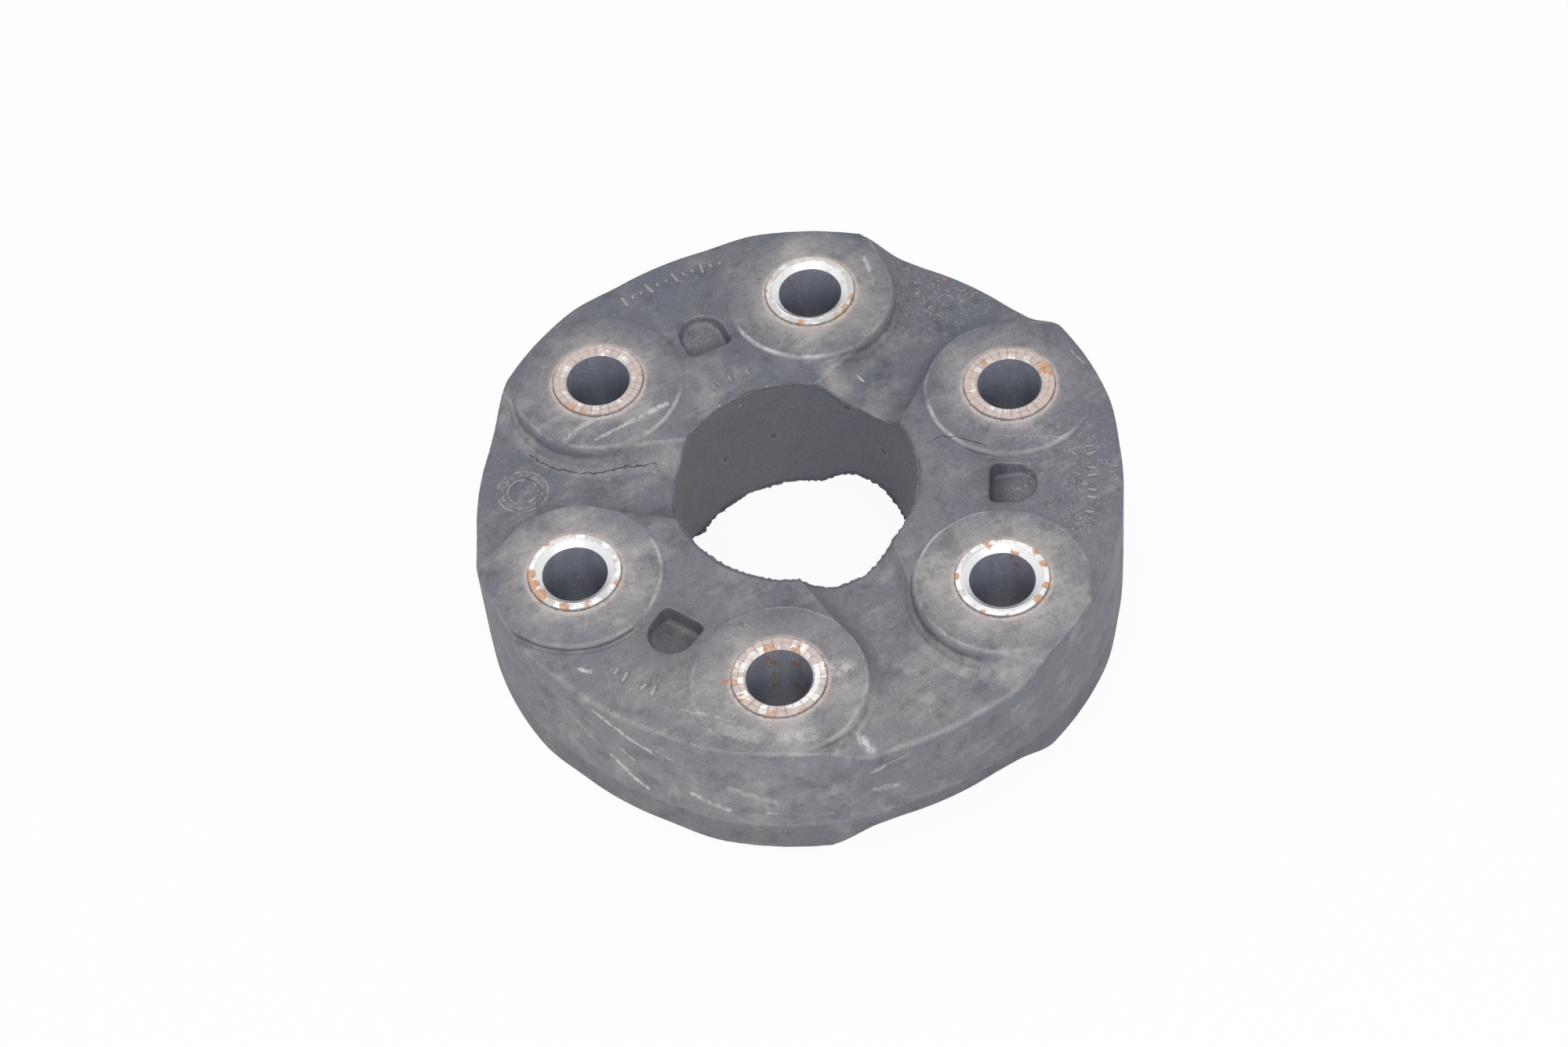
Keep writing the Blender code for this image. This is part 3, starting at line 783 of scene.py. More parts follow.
@dataclass(frozen=True)
class BoreFinish:
    """The oily dark inside of a sleeve, with grit, a little rust and painted streaks of sheen on it."""

    oil: Colour = (0.285, 0.298, 0.365)
    sheen: Colour = (0.340, 0.358, 0.430)
    grit: Colour = (0.80, 0.78, 0.76)
    rust: Colour = (0.36, 0.16, 0.07)

    def material(self) -> bpy.types.Material:
        """Build the bore's nodes."""
        n = Nodes("oily_bore")
        # painted sheen: lighter upright streaks in the colour stand in for reflections on the bore's wall
        streak = n.noise(1.6 * MM, 3.0, 0.6, place=n.stretched((1.0, 1.0, 6.0)))
        colour = n.blend(n.span(streak, 0.35, 0.75), self.oil, self.sheen)
        stain = n.times(n.attribute("rust"), n.span(n.noise(2.0 * MM, 4.0, 0.6, seed=4.0), 0.45, 0.62))
        colour = n.blend(stain, colour, self.rust)
        few = n.span(n.noise(5 * MM, 1.0, 0.5, seed=2.0), 0.38, 0.52)
        grit = n.times(n.dots(1.0 * MM, 0.34, 3.0), few)
        scratch = n.times(n.bell(n.noise(3.2 * MM, 1.0, 0.5, seed=5.0), 0.5, 0.008), few, 0.4)
        colour = n.blend(n.maths("MAXIMUM", grit, scratch), colour, self.grit)
        n.bump(n.times(streak, 0.05))
        return n.finish(colour, n.total(n.times(streak, 0.3), 0.25), 0.2)


@dataclass(frozen=True)
class CordFinish:
    """Cord wound in many turns and set in rubber."""

    fibre: Colour = (0.30, 0.22, 0.14)
    dark: Colour = (0.10, 0.075, 0.05)
    pitch: float = 0.9 * MM

    def material(self) -> bpy.types.Material:
        """Build the cord's nodes."""
        n = Nodes("wound_cord")
        wave = n.add("ShaderNodeTexWave", wave_type="BANDS", bands_direction="Z")
        n.feed(wave.inputs["Vector"], n.place)
        wave.inputs["Scale"].default_value = 1.0 / (self.pitch * 3.0)
        wave.inputs["Distortion"].default_value = 1.5
        fuzz = n.noise(0.5 * MM, 3.0, 0.6)
        turns = n.total(n.times(wave.outputs["Fac"], 0.7), n.times(fuzz, 0.3))
        n.bump(turns, self.pitch / 4)
        return n.finish(n.blend(turns, self.dark, self.fibre), 0.85)


@dataclass(frozen=True)
class CollarFinish:
    """Pressed steel of a collar, dull and faintly brushed."""

    steel: Colour = (0.42, 0.42, 0.43)
    dull: Colour = (0.27, 0.26, 0.26)

    def material(self) -> bpy.types.Material:
        """Build the collar's nodes."""
        n = Nodes("pressed_steel")
        brushed = n.noise(0.6 * MM, 3.0, 0.6, place=n.stretched((8.0, 1.0, 1.0)))
        cloud = n.noise(6 * MM, 3.0, 0.6, seed=2.0)
        n.bump(n.times(brushed, 0.02))
        colour = n.blend(cloud, self.dull, self.steel)
        return n.finish(colour, n.total(n.times(brushed, 0.2), 0.35), 0.9)


@dataclass(frozen=True)
class Layout:
    """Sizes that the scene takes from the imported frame, so that its pieces fit the solids."""

    pitch_radius: float
    sleeve_radius: float
    sleeve_length: float
    rim_radius: float
    face: float
    bore_radius: float = 7.05 * MM
    arm_pairs: int = 3

    @classmethod
    def measured(cls) -> "Layout":
        """Read the sizes off the frame's nodes."""
        low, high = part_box("sleeve_2")
        body_low, body_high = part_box("rubber_body")
        return cls(
            pitch_radius=(low.y + high.y) / 2,
            sleeve_radius=(high.x - low.x) / 2,
            sleeve_length=high.z - low.z,
            rim_radius=(body_high.y - body_low.y) / 2,
            face=body_high.z,
        )

    @property
    def middle(self) -> float:
        """Half the height of the coupling."""
        return self.sleeve_length / 2

    @property
    def sleeve_count(self) -> int:
        """How many sleeves there are."""
        return 2 * self.arm_pairs

    def station(self, number: int) -> float:
        """Return the angle of a sleeve, numbered from 1."""
        return math.tau / self.sleeve_count * (number - 0.5)

    def arm(self, number: int, thick: bool) -> float:
        """Return the middle angle of a thick or a thin arm, numbered from 1."""
        return math.tau / self.sleeve_count * (2 * (number - 1) + (0 if thick else 1))


@dataclass(frozen=True)
class Patch:
    """A soft round patch on the upper face, in mm."""

    x: float
    y: float
    reach: float
    strength: float


@dataclass(frozen=True)
class EdgeMark:
    """A stretch of a boss's edge, in degrees round its sleeve, that gets a painted highlight or a painted
    shadow line.
    """

    boss: int
    start: float
    end: float
    light: float = 0.0
    dark: float = 0.0


@dataclass(frozen=True)
class Falls:
    """What the thick and the thin arms fall from the centre hole to the rim."""

    thick: float
    thin: float
    rounding: float = 1.0


@dataclass
class Rubber:
    """The moulded rubber body with its bosses, arms, recesses, wear and painted light."""

    layout: Layout
    hole_radius: float = 26.77 * MM
    boss_radius: float = 18.6 * MM
    thick_inset: float = 0.7 * MM
    thin_inset: float = 1.15 * MM
    lobe_half_angle: float = math.radians(10.0)
    thick_shoulder: tuple[float, float] = (math.radians(10.0), math.radians(22.0))
    thin_shoulder: tuple[float, float] = (math.radians(9.5), math.radians(22.0))
    lobe_round: float = 0.6 * MM
    arm_round: float = 2.0 * MM
    wall_depth: float = 9.0 * MM
    rim_draft: float = 0.1 * MM
    parting_height: float = 10.0 * MM
    thick_step: float = 0.5 * MM
    thin_step: float = 5.6 * MM
    falls_above: Falls = Falls(0.1 * MM, 0.1 * MM, 0.8)
    falls_below: Falls = Falls(0.1 * MM, -1.4 * MM, 0.5)
    mouth_half_angle: float = math.radians(24.0)
    mouth_flare: float = 3.4 * MM
    mouth_depth: float = 7.0 * MM
    floor_half_width: float = 3.4 * MM
    crest_inset: float = 0.4 * MM
    slope_power: float = 1.7
    soft_start: float = 3.0 * MM
    soft_width: float = 9.0 * MM
    ear_start: float = 60.0 * MM
    ear_share: float = 0.7
    boss_edge: float = 0.9 * MM
    lip_radii: tuple[float, float] = (12.2 * MM, 11.2 * MM)
    lip_heights: tuple[float, float] = (0.22 * MM, 0.33 * MM)
    recess_length: float = 10.6 * MM
    recess_width: float = 10.6 * MM
    recess_depth: float = 4.6 * MM
    recess_shift: float = 1.8 * MM
    recess_rise: float = 3.5 * MM
    recess_draft: float = 0.14
    room_radius: float = 17.3 * MM
    room_cover: float = 2.2 * MM
    channel_width: float = 6.8 * MM
    channel_offset: float = 13.4 * MM
    voxel: float = 0.42 * MM
    face_limit: int = 176000
    # strengths of the painted shade in each thick arm's recess: beside the hole, and beyond
    recess_shade: tuple[tuple[float, float], ...] = ((0.50, 0.06), (0.22, 0.06), (0.40, 0.42))
    boss_dust: tuple[float, ...] = (0.24, 0.42, 0.26, 0.44, 0.50, 0.66)
    # stretches of the bosses' edges that get a painted highlight (light) or a painted shadow line (dark)
    edge_marks: tuple[EdgeMark, ...] = (
        EdgeMark(1, 125, 196, light=0.35), EdgeMark(1, 190, 246, light=0.9), EdgeMark(1, 238, 264, dark=0.8),
        EdgeMark(1, 278, 324, light=0.6), EdgeMark(2, 210, 288, light=1.0), EdgeMark(2, 290, 360, dark=0.6),
        EdgeMark(3, 308, 368, light=0.75), EdgeMark(3, 190, 280, dark=0.6), EdgeMark(4, -30, 44, light=0.85),
        EdgeMark(4, 228, 322, dark=0.9), EdgeMark(5, -58, 142, light=0.45), EdgeMark(5, 158, 216, light=0.3),
        EdgeMark(5, 292, 350, dark=0.45), EdgeMark(6, 98, 182, light=0.9), EdgeMark(6, 180, 252, light=0.5),
        EdgeMark(6, 170, 264, dark=0.8), EdgeMark(6, 8, 80, light=0.35), EdgeMark(4, 112, 160, light=0.35),
    )
    dust_patches: tuple[Patch, ...] = (
        Patch(37.0, 25.0, 7.0, 0.45),
        Patch(57.0, 20.0, 7.0, -0.14),
        Patch(-18.0, 55.0, 7.0, -0.25),
        Patch(0.0, 37.0, 9.0, 0.34),
        Patch(-3.0, 66.0, 8.0, 0.36),
        Patch(-58.0, 30.0, 7.0, -0.14),
        Patch(-60.0, -28.0, 7.0, -0.30),
        Patch(-33.0, -29.0, 7.0, 0.35),
        Patch(-48.0, -10.0, 8.0, 0.46),
        Patch(16.0, -56.0, 8.0, 0.46),
        Patch(-3.0, -67.0, 6.0, -0.16),
        Patch(-1.0, -39.0, 8.0, -0.50),
        Patch(32.0, -26.0, 8.0, 0.50),
        Patch(59.0, -25.0, 7.0, -0.18),
        Patch(-64.0, 2.0, 9.0, -0.40),
        Patch(-22.0, 22.0, 7.0, 0.34),
        Patch(31.0, 2.0, 6.0, 0.20),
        Patch(63.0, -3.0, 9.0, -0.18),
        Patch(22.0, -66.0, 8.0, -0.14),
        Patch(-21.0, 30.0, 9.0, 0.45),
        Patch(15.0, 22.0, 6.0, 0.45),
        Patch(14.0, 48.0, 9.0, 0.12),
        Patch(7.5, 29.0, 5.0, 0.50),
        Patch(27.0, 9.0, 8.0, 0.15),
        Patch(58.0, -35.0, 11.0, 0.30),
        Patch(30.0, -51.0, 10.0, 0.34),
        Patch(-13.0, -60.0, 9.0, 0.20),
        Patch(1.0, -68.0, 9.0, 0.45),
        Patch(-28.0, -56.0, 8.0, 0.20),
        Patch(-56.0, 20.0, 8.0, 0.15),
        Patch(-33.0, 12.0, 9.0, 0.25),
        Patch(-34.0, -17.0, 9.0, 0.10),
        Patch(20.0, -64.0, 7.0, 0.30),
    )
    speck_patches: tuple[Patch, ...] = (
        Patch(63.0, 1.0, 9.0, 1.0),
        Patch(60.0, 10.0, 8.0, 0.8),
        Patch(62.0, -8.0, 6.0, 0.7),
        Patch(49.0, 1.0, 5.0, 0.9),
        Patch(36.0, 2.0, 5.0, 0.4),
        Patch(27.0, 57.0, 12.0, 0.8),
        Patch(31.0, 50.0, 6.0, 0.7),
        Patch(20.0, 48.0, 6.0, 0.5),
        Patch(-24.0, -56.0, 5.0, 1.0),
        Patch(-31.0, -54.0, 4.5, 0.7),
        Patch(-36.3, -51.5, 3.0, 0.6),
        Patch(-60.3, 0.0, 5.5, 0.5),
        Patch(-38.0, 4.0, 9.0, 0.45),
        Patch(-24.0, -41.0, 6.0, 0.7),
        Patch(-25.0, 41.0, 5.0, 0.35),
        Patch(-28.0, 57.0, 6.0, 0.3),
        Patch(52.0, 12.0, 7.0, 0.3),
        Patch(0.0, -66.0, 7.0, 0.35),
    )

    def boss_gap(self, x: np.ndarray, y: np.ndarray) -> np.ndarray:
        """Return how far points lie outside the nearest boss."""
        return self.from_sleeve(x, y)[0] - self.boss_radius

    def from_sleeve(self, x: np.ndarray, y: np.ndarray) -> tuple[np.ndarray, np.ndarray, np.ndarray]:
        """Return the distance from the nearest sleeve's axis, the direction from it and its number."""
        step = math.tau / self.layout.sleeve_count
        number = np.floor(np.arctan2(y, x) % math.tau / step) + 1
        station = step * (number - 0.5)
        dx = x - self.layout.pitch_radius * np.cos(station)
        dy = y - self.layout.pitch_radius * np.sin(station)
        return np.hypot(dx, dy), np.arctan2(dy, dx), number

    def valley_depth(self, x: np.ndarray, y: np.ndarray, number: int) -> np.ndarray:
        """Return how far points lie inside a thin arm's valley, measured from its crest."""
        along, across = turned(x, y, self.layout.arm(number, False))
        half = math.tau / self.layout.sleeve_count / 2
        centre = at(half, self.layout.pitch_radius)
        mouth = at(self.mouth_half_angle, self.hole_radius)
        corner = at(half - self.lobe_half_angle, self.layout.rim_radius)
        start = self.touch(centre, mouth, 1)
        end = self.touch(centre, corner, -1)
        px, py = along - centre[0], np.abs(across) - centre[1]
        angle = np.arctan2(py, px) % math.tau
        held = np.clip(angle, min(start, end), max(start, end))
        gap = np.hypot(px, py) * np.cos(angle - held) - self.boss_radius
        return np.where(np.abs(across) < along * math.tan(half), gap, -1.0)

    def touch(self, centre: np.ndarray, point: np.ndarray, side: int) -> float:
        """Return where a line from a point touches the boss circle round a centre."""
        away = point - centre
        opening = math.acos(self.boss_radius / np.hypot(*away))
        return (math.atan2(away[1], away[0]) + side * opening) % math.tau

    def wall(self, angle: np.ndarray) -> tuple[np.ndarray, np.ndarray]:
        """Return the wall's radius and its edge's rounding: bosses reach furthest, thin arms least."""
        step = math.tau / self.layout.sleeve_count
        from_boss = np.abs((angle - self.layout.station(1) + step / 2) % step - step / 2)
        thick = np.round(angle / step) % 2 == 0
        start = np.where(thick, self.thick_shoulder[0], self.thin_shoulder[0])
        end = np.where(thick, self.thick_shoulder[1], self.thin_shoulder[1])
        on_arm = ease((from_boss - start) / (end - start))
        inset = np.where(thick, self.thick_inset, self.thin_inset)
        rounding = self.lobe_round + (self.arm_round - self.lobe_round) * on_arm
        return self.layout.rim_radius - inset * on_arm, rounding

    def face_height(self, x: np.ndarray, y: np.ndarray, falls: Falls) -> np.ndarray:
        """Return the height of the upper face above Z = 0.

        Args:
            x: coordinates along the part's X.
            y: coordinates along the part's Y.
            falls: how far the arms fall towards the rim.

        Returns:
            The height at each place.
        """
        radius = np.hypot(x, y)
        outward = np.clip((radius - self.hole_radius) / (self.layout.rim_radius - self.hole_radius), 0, 1)
        limit, rounding = self.wall(np.arctan2(y, x))
        ear = ease((radius - self.ear_start) / (self.layout.rim_radius - self.ear_start))
        ear = ear * (1.0 - (self.layout.rim_radius - limit) / self.thick_inset).clip(0.0, 1.0)
        height = self.layout.face - self.thick_step * (1.0 - self.ear_share * ear) - falls.thick * outward
        height = height + (self.layout.face - height) * ease(0.5 - self.boss_gap(x, y) / self.boss_edge)
        floor = self.layout.face - self.thin_step - falls.thin * outward
        half_span = self.layout.pitch_radius * math.sin(math.pi / self.layout.sleeve_count)
        width = half_span - self.boss_radius - self.floor_half_width + self.crest_inset
        into_mouth = (self.hole_radius + self.mouth_depth - radius) / self.mouth_depth
        width = width + self.mouth_flare * ease(into_mouth)
        outer = ease((radius - self.ear_start) / (self.layout.rim_radius - MM - self.ear_start))
        for number in range(1, self.layout.arm_pairs + 1):
            depth = self.valley_depth(x, y, number)
            crisp = 1.0 - (1.0 - np.clip((depth + self.crest_inset) / width, 0.0, 1.0)) ** self.slope_power
            soft = ease((depth + self.soft_start) / self.soft_width)
            height = height + (floor - height) * (crisp + (soft - crisp) * outer)
        near = self.from_sleeve(x, y)[0]
        for start, rise in zip(self.lip_radii, self.lip_heights):
            height = height + rise * ease((start - near) / MM)
        rounding = rounding * falls.rounding
        over = np.clip((radius - limit + self.rim_draft + rounding) / rounding, 0.0, 1.0)
        return height - rounding * (1.0 - np.sqrt(1.0 - over * over))

    def blank(self) -> bpy.types.Object:
        """Turn the plain disc with its centre hole and parting line."""
        depth = 2 * (self.layout.face - self.layout.middle)
        bpy.ops.mesh.primitive_cylinder_add(vertices=360, radius=self.layout.rim_radius, depth=depth,
                                            location=(0, 0, self.layout.middle))
        piece = new_piece("rubber_moulding")
        edit(piece)
        open_middle(self.layout.rim_radius, self.hole_radius)
        bpy.ops.mesh.select_all(action="SELECT")
        bpy.ops.mesh.bisect(plane_co=(0, 0, self.parting_height), plane_no=(0, 0, 1))
        rim = self.layout.rim_radius - MM
        pick("VERT", lambda place, normal: place.xy.length > rim and abs(place.z - self.parting_height) > MM)
        drawn = 1.0 - self.rim_draft / self.layout.rim_radius
        bpy.ops.transform.resize(value=(drawn, drawn, 1.0), center_override=(0, 0, 0))
        close()
        return piece

    def round_cutter(self, name: str, radius: float, low: float, high: float) -> bpy.types.Object:
        """Make one round cutter for each sleeve.

        Args:
            name: what the cutter is called.
            radius: its radius.
            low: its lower end.
            high: its upper end.

        Returns:
            The six cutters as one piece.
        """
        layout = self.layout
        bpy.ops.mesh.primitive_cylinder_add(vertices=96, radius=radius, depth=high - low,
                                            location=(layout.pitch_radius, 0, (low + high) / 2))
        first = new_piece(name)
        turns = [Matrix.Rotation(layout.station(n), 4, "Z") for n in range(1, layout.sleeve_count + 1)]
        copies = [copy_of(first, f"{name}_{i}", turn) for i, turn in enumerate(turns)]
        bpy.data.objects.remove(first, do_unlink=True)
        return joined(copies, name)

    def recess_cutter(self) -> bpy.types.Object:
        """Make the D-shaped cutters of the thick arms, deep beside the hole and rising outwards."""
        layout = self.layout
        arm_middle = layout.pitch_radius * math.cos(math.pi / layout.sleeve_count)
        middle = arm_middle + self.recess_shift
        floor = layout.face - self.thick_step - self.recess_depth
        height = 2 * self.recess_depth
        nose = self.recess_width / 2
        round_end = (middle + self.recess_length / 2 - nose, 0, floor + height / 2)
        bpy.ops.mesh.primitive_cylinder_add(vertices=48, radius=nose, depth=height, location=round_end)
        first = new_piece("recess_cutter")
        edit(first)
        bpy.ops.mesh.primitive_cube_add(size=1.0, scale=(self.recess_length / 2, self.recess_width, height),
                                        location=(middle - self.recess_length / 4, 0, floor + height / 2))
        bpy.ops.mesh.select_all(action="SELECT")
        bpy.ops.mesh.convex_hull()
        pick("EDGE", lambda place, normal: place.x < middle - self.recess_length / 2 + 0.1 * MM
             and abs(abs(place.y) - nose) < 0.1 * MM)
        bpy.ops.mesh.bevel(offset=1.5 * MM, segments=4)
        close()
        places = coordinates(first)
        draft = 1.0 + self.recess_draft * ((places[:, 2] - floor) / self.recess_depth - 1.0)
        places[:, 0] = middle + (places[:, 0] - middle) * draft
        places[:, 1] *= draft
        outwards = np.clip((places[:, 0] - middle) / self.recess_length + 0.5, 0.0, 1.0)
        places[:, 2] += np.where(places[:, 2] < floor + MM, self.recess_rise * outwards ** 0.8, 0.0)
        set_coordinates(first, places)
        flip = Matrix.Translation((0, 0, layout.sleeve_length)) @ Matrix.Diagonal((1, 1, -1, 1))
        copies = []
        for number in range(1, layout.arm_pairs + 1):
            turn = Matrix.Rotation(layout.arm(number, True), 4, "Z")
            copies.append(copy_of(first, f"recess_top_{number}", turn))
            copies.append(copy_of(first, f"recess_bottom_{number}", turn @ flip))
        bpy.data.objects.remove(first, do_unlink=True)
        return joined(copies, "recess_cutters")

    def channel_cutter(self) -> bpy.types.Object:
        """Make the cutters of the channels that the cord loops' straight runs fill."""
        layout = self.layout
        arm_middle = layout.pitch_radius * math.cos(math.pi / layout.sleeve_count)
        copies = []
        for loop in [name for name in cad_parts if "loop" in name]:
            low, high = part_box(loop)
            number = int(loop.rsplit("_", 1)[1])
            turn = Matrix.Rotation(layout.arm(number, "drive" in loop), 4, "Z")
            for side in (-1, 1):
                place = (arm_middle + side * self.channel_offset, 0, (low.z + high.z) / 2)
                size = (self.channel_width, layout.pitch_radius, high.z - low.z + 0.6 * MM)
                bpy.ops.mesh.primitive_cube_add(size=1.0, scale=size, location=place)
                piece = new_piece(f"{loop}_channel_{side}")
                piece.data.transform(turn)
                copies.append(piece)
        return joined(copies, "channel_cutters")

    def sink_arms(self, piece: bpy.types.Object) -> None:
        """Bring the wall and both faces to the bosses' and arms' own shapes."""
        places = coordinates(piece)
        x, y, z = places.T
        radius, rim, middle = np.hypot(x, y), self.layout.rim_radius, self.layout.middle
        limit, _ = self.wall(np.arctan2(y, x))
        out = (limit - rim) * np.clip((radius - rim) / self.wall_depth + 1.0, 0.0, 1.0)
        x, y = x * (1.0 + out / radius), y * (1.0 + out / radius)
        above, below = self.face_height(x, y, self.falls_above), self.face_height(x, y, self.falls_below)
        share = (np.where(z > middle, above, below) - middle) / (self.layout.face - middle)
        near, turn, _ = self.from_sleeve(x, y)
        held = np.where(near < self.layout.sleeve_radius + 0.2 * MM, self.layout.sleeve_radius, near)
        x, y = x + (held - near) * np.cos(turn), y + (held - near) * np.sin(turn)
        set_coordinates(piece, np.column_stack((x, y, middle + (z - middle) * share)))

    def thin_out(self, piece: bpy.types.Object) -> None:
        """Bring the mesh under its limit of triangles."""
        count = sum(len(polygon.vertices) - 2 for polygon in piece.data.polygons)
        if count > self.face_limit:
            apply_modifier(piece, "DECIMATE", ratio=self.face_limit / count, use_collapse_triangulate=True)

    def paint_wear_and_light(self, piece: bpy.types.Object) -> None:
        """Paint where dust, flecks, crests and grime lie, with painted light: lighter dust towards the front,
        painted highlights and shadows along the bosses' edges, and painted shade in the recesses and along
        the hole's edge.
        """
        places = coordinates(piece) / MM
        facing = normals(piece)
        x, y, z = places.T
        upper = ease((facing[:, 2] - 0.2) / 0.4) * (z > self.layout.middle / MM)
        wall = ease((np.hypot(x, y) - 66.0) / 3.0) * (1 - ease((facing[:, 2] - 0.3) / 0.4))
        paint(piece, "dust_and_light", self.dust_and_light(places, facing, upper, wall))
        paint(piece, "wall", wall)
        paint(piece, "upper", upper)
        specks = np.zeros(len(x))
        for patch in self.speck_patches:
            away = np.hypot(x - patch.x, y - patch.y) / patch.reach
            specks = np.maximum(specks, patch.strength * ease(1.3 - away))
        paint(piece, "specks", specks * (z > 24.0))
        self.paint_edges(piece, places, upper)
        paint(piece, "grime_and_shade", self.grime_and_shade(places))

    def dust_and_light(self, places: np.ndarray, facing: np.ndarray, upper: np.ndarray, wall: np.ndarray) -> np.ndarray:
        """Return the share of dust with painted light in it: the dust lies most on the bosses and round the
        sleeves, and painted light makes it lighter towards the front and on slopes that face the front.

        Args:
            places: the vertices, in mm.
            facing: their normals.
            upper: 1 on the upper face.
            wall: 1 on the rim's wall.

        Returns:
            The share at each vertex.
        """
        x, y, z = places.T
        near, _, number = self.from_sleeve(x * MM, y * MM)
        near = near / MM
        top = self.boss_radius / MM
        # painted light: the arms grow lighter towards the front, where more light falls
        arm = 0.10 - 0.0026 * y
        boss = np.array(self.boss_dust)[number.astype(int) - 1] * (0.9 + 0.3 * noise_field(places, 11.0, 1.0))
        on_boss = (0.3 * ease((top + 0.5 - near) / 1.0) + 0.7 * ease((top + 0.5 - near) / 6.0)) * (z > 36.0)
        halo = 0.20 * ease((13.6 - near) / 3.0) + 0.10 * ease((17.0 - near) / 6.0)
        halo = halo + 0.30 * ease((11.6 - near) / 0.8) * (0.6 + noise_field(places, 1.6, 8.0))
        # painted light: slopes that face the front are made lighter
        painted_front_light = 0.30 * ease((-facing[:, 1] - 0.12) / 0.35) * ease((facing[:, 2] - 0.45) / 0.3)
        lumps = noise_field(places, 6.0, 2.0)
        dust_and_light = arm + (boss - arm) * on_boss + halo + painted_front_light
        for patch in self.dust_patches:
            away = np.hypot(x - patch.x, y - patch.y) / patch.reach
            dust_and_light = dust_and_light + patch.strength * ease(1.15 - away) * (0.8 + 0.4 * lumps)
        turn = np.degrees(np.arctan2(y, x)) % 360.0
        sides = 0.02 + 0.24 * ease(1.2 - np.abs(turn - 252.0) / 48.0)
        sides = sides + 0.06 * noise_field(places, 14.0, 4.0)
        under = ease((-facing[:, 2] - 0.2) / 0.4) * 0.2
        inside = (0.08 - 0.0012 * x) * (np.hypot(x, y) < self.hole_radius / MM + 0.6) * (1 - upper)
        return upper * dust_and_light + wall * sides + under + inside

    def paint_edges(self, piece: bpy.types.Object, places: np.ndarray, upper: np.ndarray) -> None:
        """Paint the strengths of the painted highlights and painted shadows along the bosses' edges, and the
        distance from the valleys' crests.
        """
        near, turn, number = self.from_sleeve(places[:, 0] * MM, places[:, 1] * MM)
        turn = np.degrees(turn)
        bead_highlight, crease_shadow = np.zeros(len(turn)), np.zeros(len(turn))
        for mark in self.edge_marks:
            inside = (turn - mark.start) % 360.0
            to_end = np.minimum(inside, mark.end - mark.start - inside)
            share = ease(to_end / 9.0) * (number == mark.boss) * upper
            bead_highlight = np.maximum(bead_highlight, mark.light * share)
            crease_shadow = np.maximum(crease_shadow, mark.dark * share)
        ragged = ease(noise_field(places, 7.0, 5.0) * 1.1 + 0.75)
        inland = ease((67.0 - np.hypot(places[:, 0], places[:, 1])) / 3.0)
        # a faint painted highlight and painted shadow line round every boss away from the rim
        paint(piece, "bead_highlight", np.maximum(bead_highlight * ragged, 0.05 * upper * inland))
        paint(piece, "crease_shadow", np.maximum(crease_shadow, 0.07 * upper * inland))
        x, y = places[:, 0] * MM, places[:, 1] * MM
        sunk = [self.valley_depth(x, y, n) for n in range(1, self.layout.arm_pairs + 1)]
        crest = np.maximum.reduce(sunk) / MM
        paint(piece, "crest", np.where(upper > 0.05, crest, -6.0), -6.0, 6.0)

    def grime_and_shade(self, places: np.ndarray) -> np.ndarray:
        """Return the painted shade in the recesses, and the painted shadow under the torn flash along the
        hole's upper edge.
        """
        x, y, z = places.T
        radius, hole = np.hypot(x, y), self.hole_radius / MM
        face = self.face_height(x * MM, y * MM, self.falls_above) / MM
        # painted shadow under the torn flash, along the hole's upper edge
        torn = ease(1.0 - (radius - hole) / 0.9) * ease((z - face + 0.8) / 0.6) * (z > 25.0)
        film = 0.7 * torn * ease(noise_field(places, 5.0, 12.0) * 1.4 + 0.6)
        arm_middle = self.layout.pitch_radius * math.cos(math.pi / self.layout.sleeve_count)
        for number in range(1, self.layout.arm_pairs + 1):
            along, across = turned(x, y, self.layout.arm(number, True))
            away = np.maximum(np.abs(along - (arm_middle + self.recess_shift) / MM), np.abs(across))
            # painted shade deep in each recess, with its own strengths beside the hole and beyond
            deep = ease((37.2 - z) / 1.5) * (away < 6.5) * (z > 28.0)
            near_hole, beyond = self.recess_shade[number - 1]
            film = film + deep * (beyond + (near_hole - beyond) * ease((47.0 - along) / 4.0))
        return film

    def build(self) -> bpy.types.Object:
        """Model the moulding.

        Returns:
            The finished piece.
        """
        layout = self.layout
        piece = self.blank()
        low, high = -layout.middle, 3 * layout.middle
        cut(piece, self.round_cutter("sleeve_cutters", layout.sleeve_radius, low, high))
        cut(piece, self.recess_cutter())
        step = self.voxel * 1.0
        apply_modifier(piece, "REMESH", mode="VOXEL", voxel_size=step)
        apply_modifier(piece, "SMOOTH", factor=0.5, iterations=2)
        self.sink_arms(piece)
        self.thin_out(piece)
        room_top = layout.sleeve_length - self.room_cover
        cut(piece, self.round_cutter("collar_rooms", self.room_radius, self.room_cover, room_top))
        cut(piece, self.channel_cutter())
        self.paint_wear_and_light(piece)
        piece.data.shade_smooth()
        return piece

    def dress(self, piece: bpy.types.Object, finish: bpy.types.Material) -> None:
        """Give the moulding its finish and its place in the frame."""
        piece.data.materials.clear()
        piece.data.materials.append(finish)
        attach(piece, "root")
        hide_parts("rubber_body")


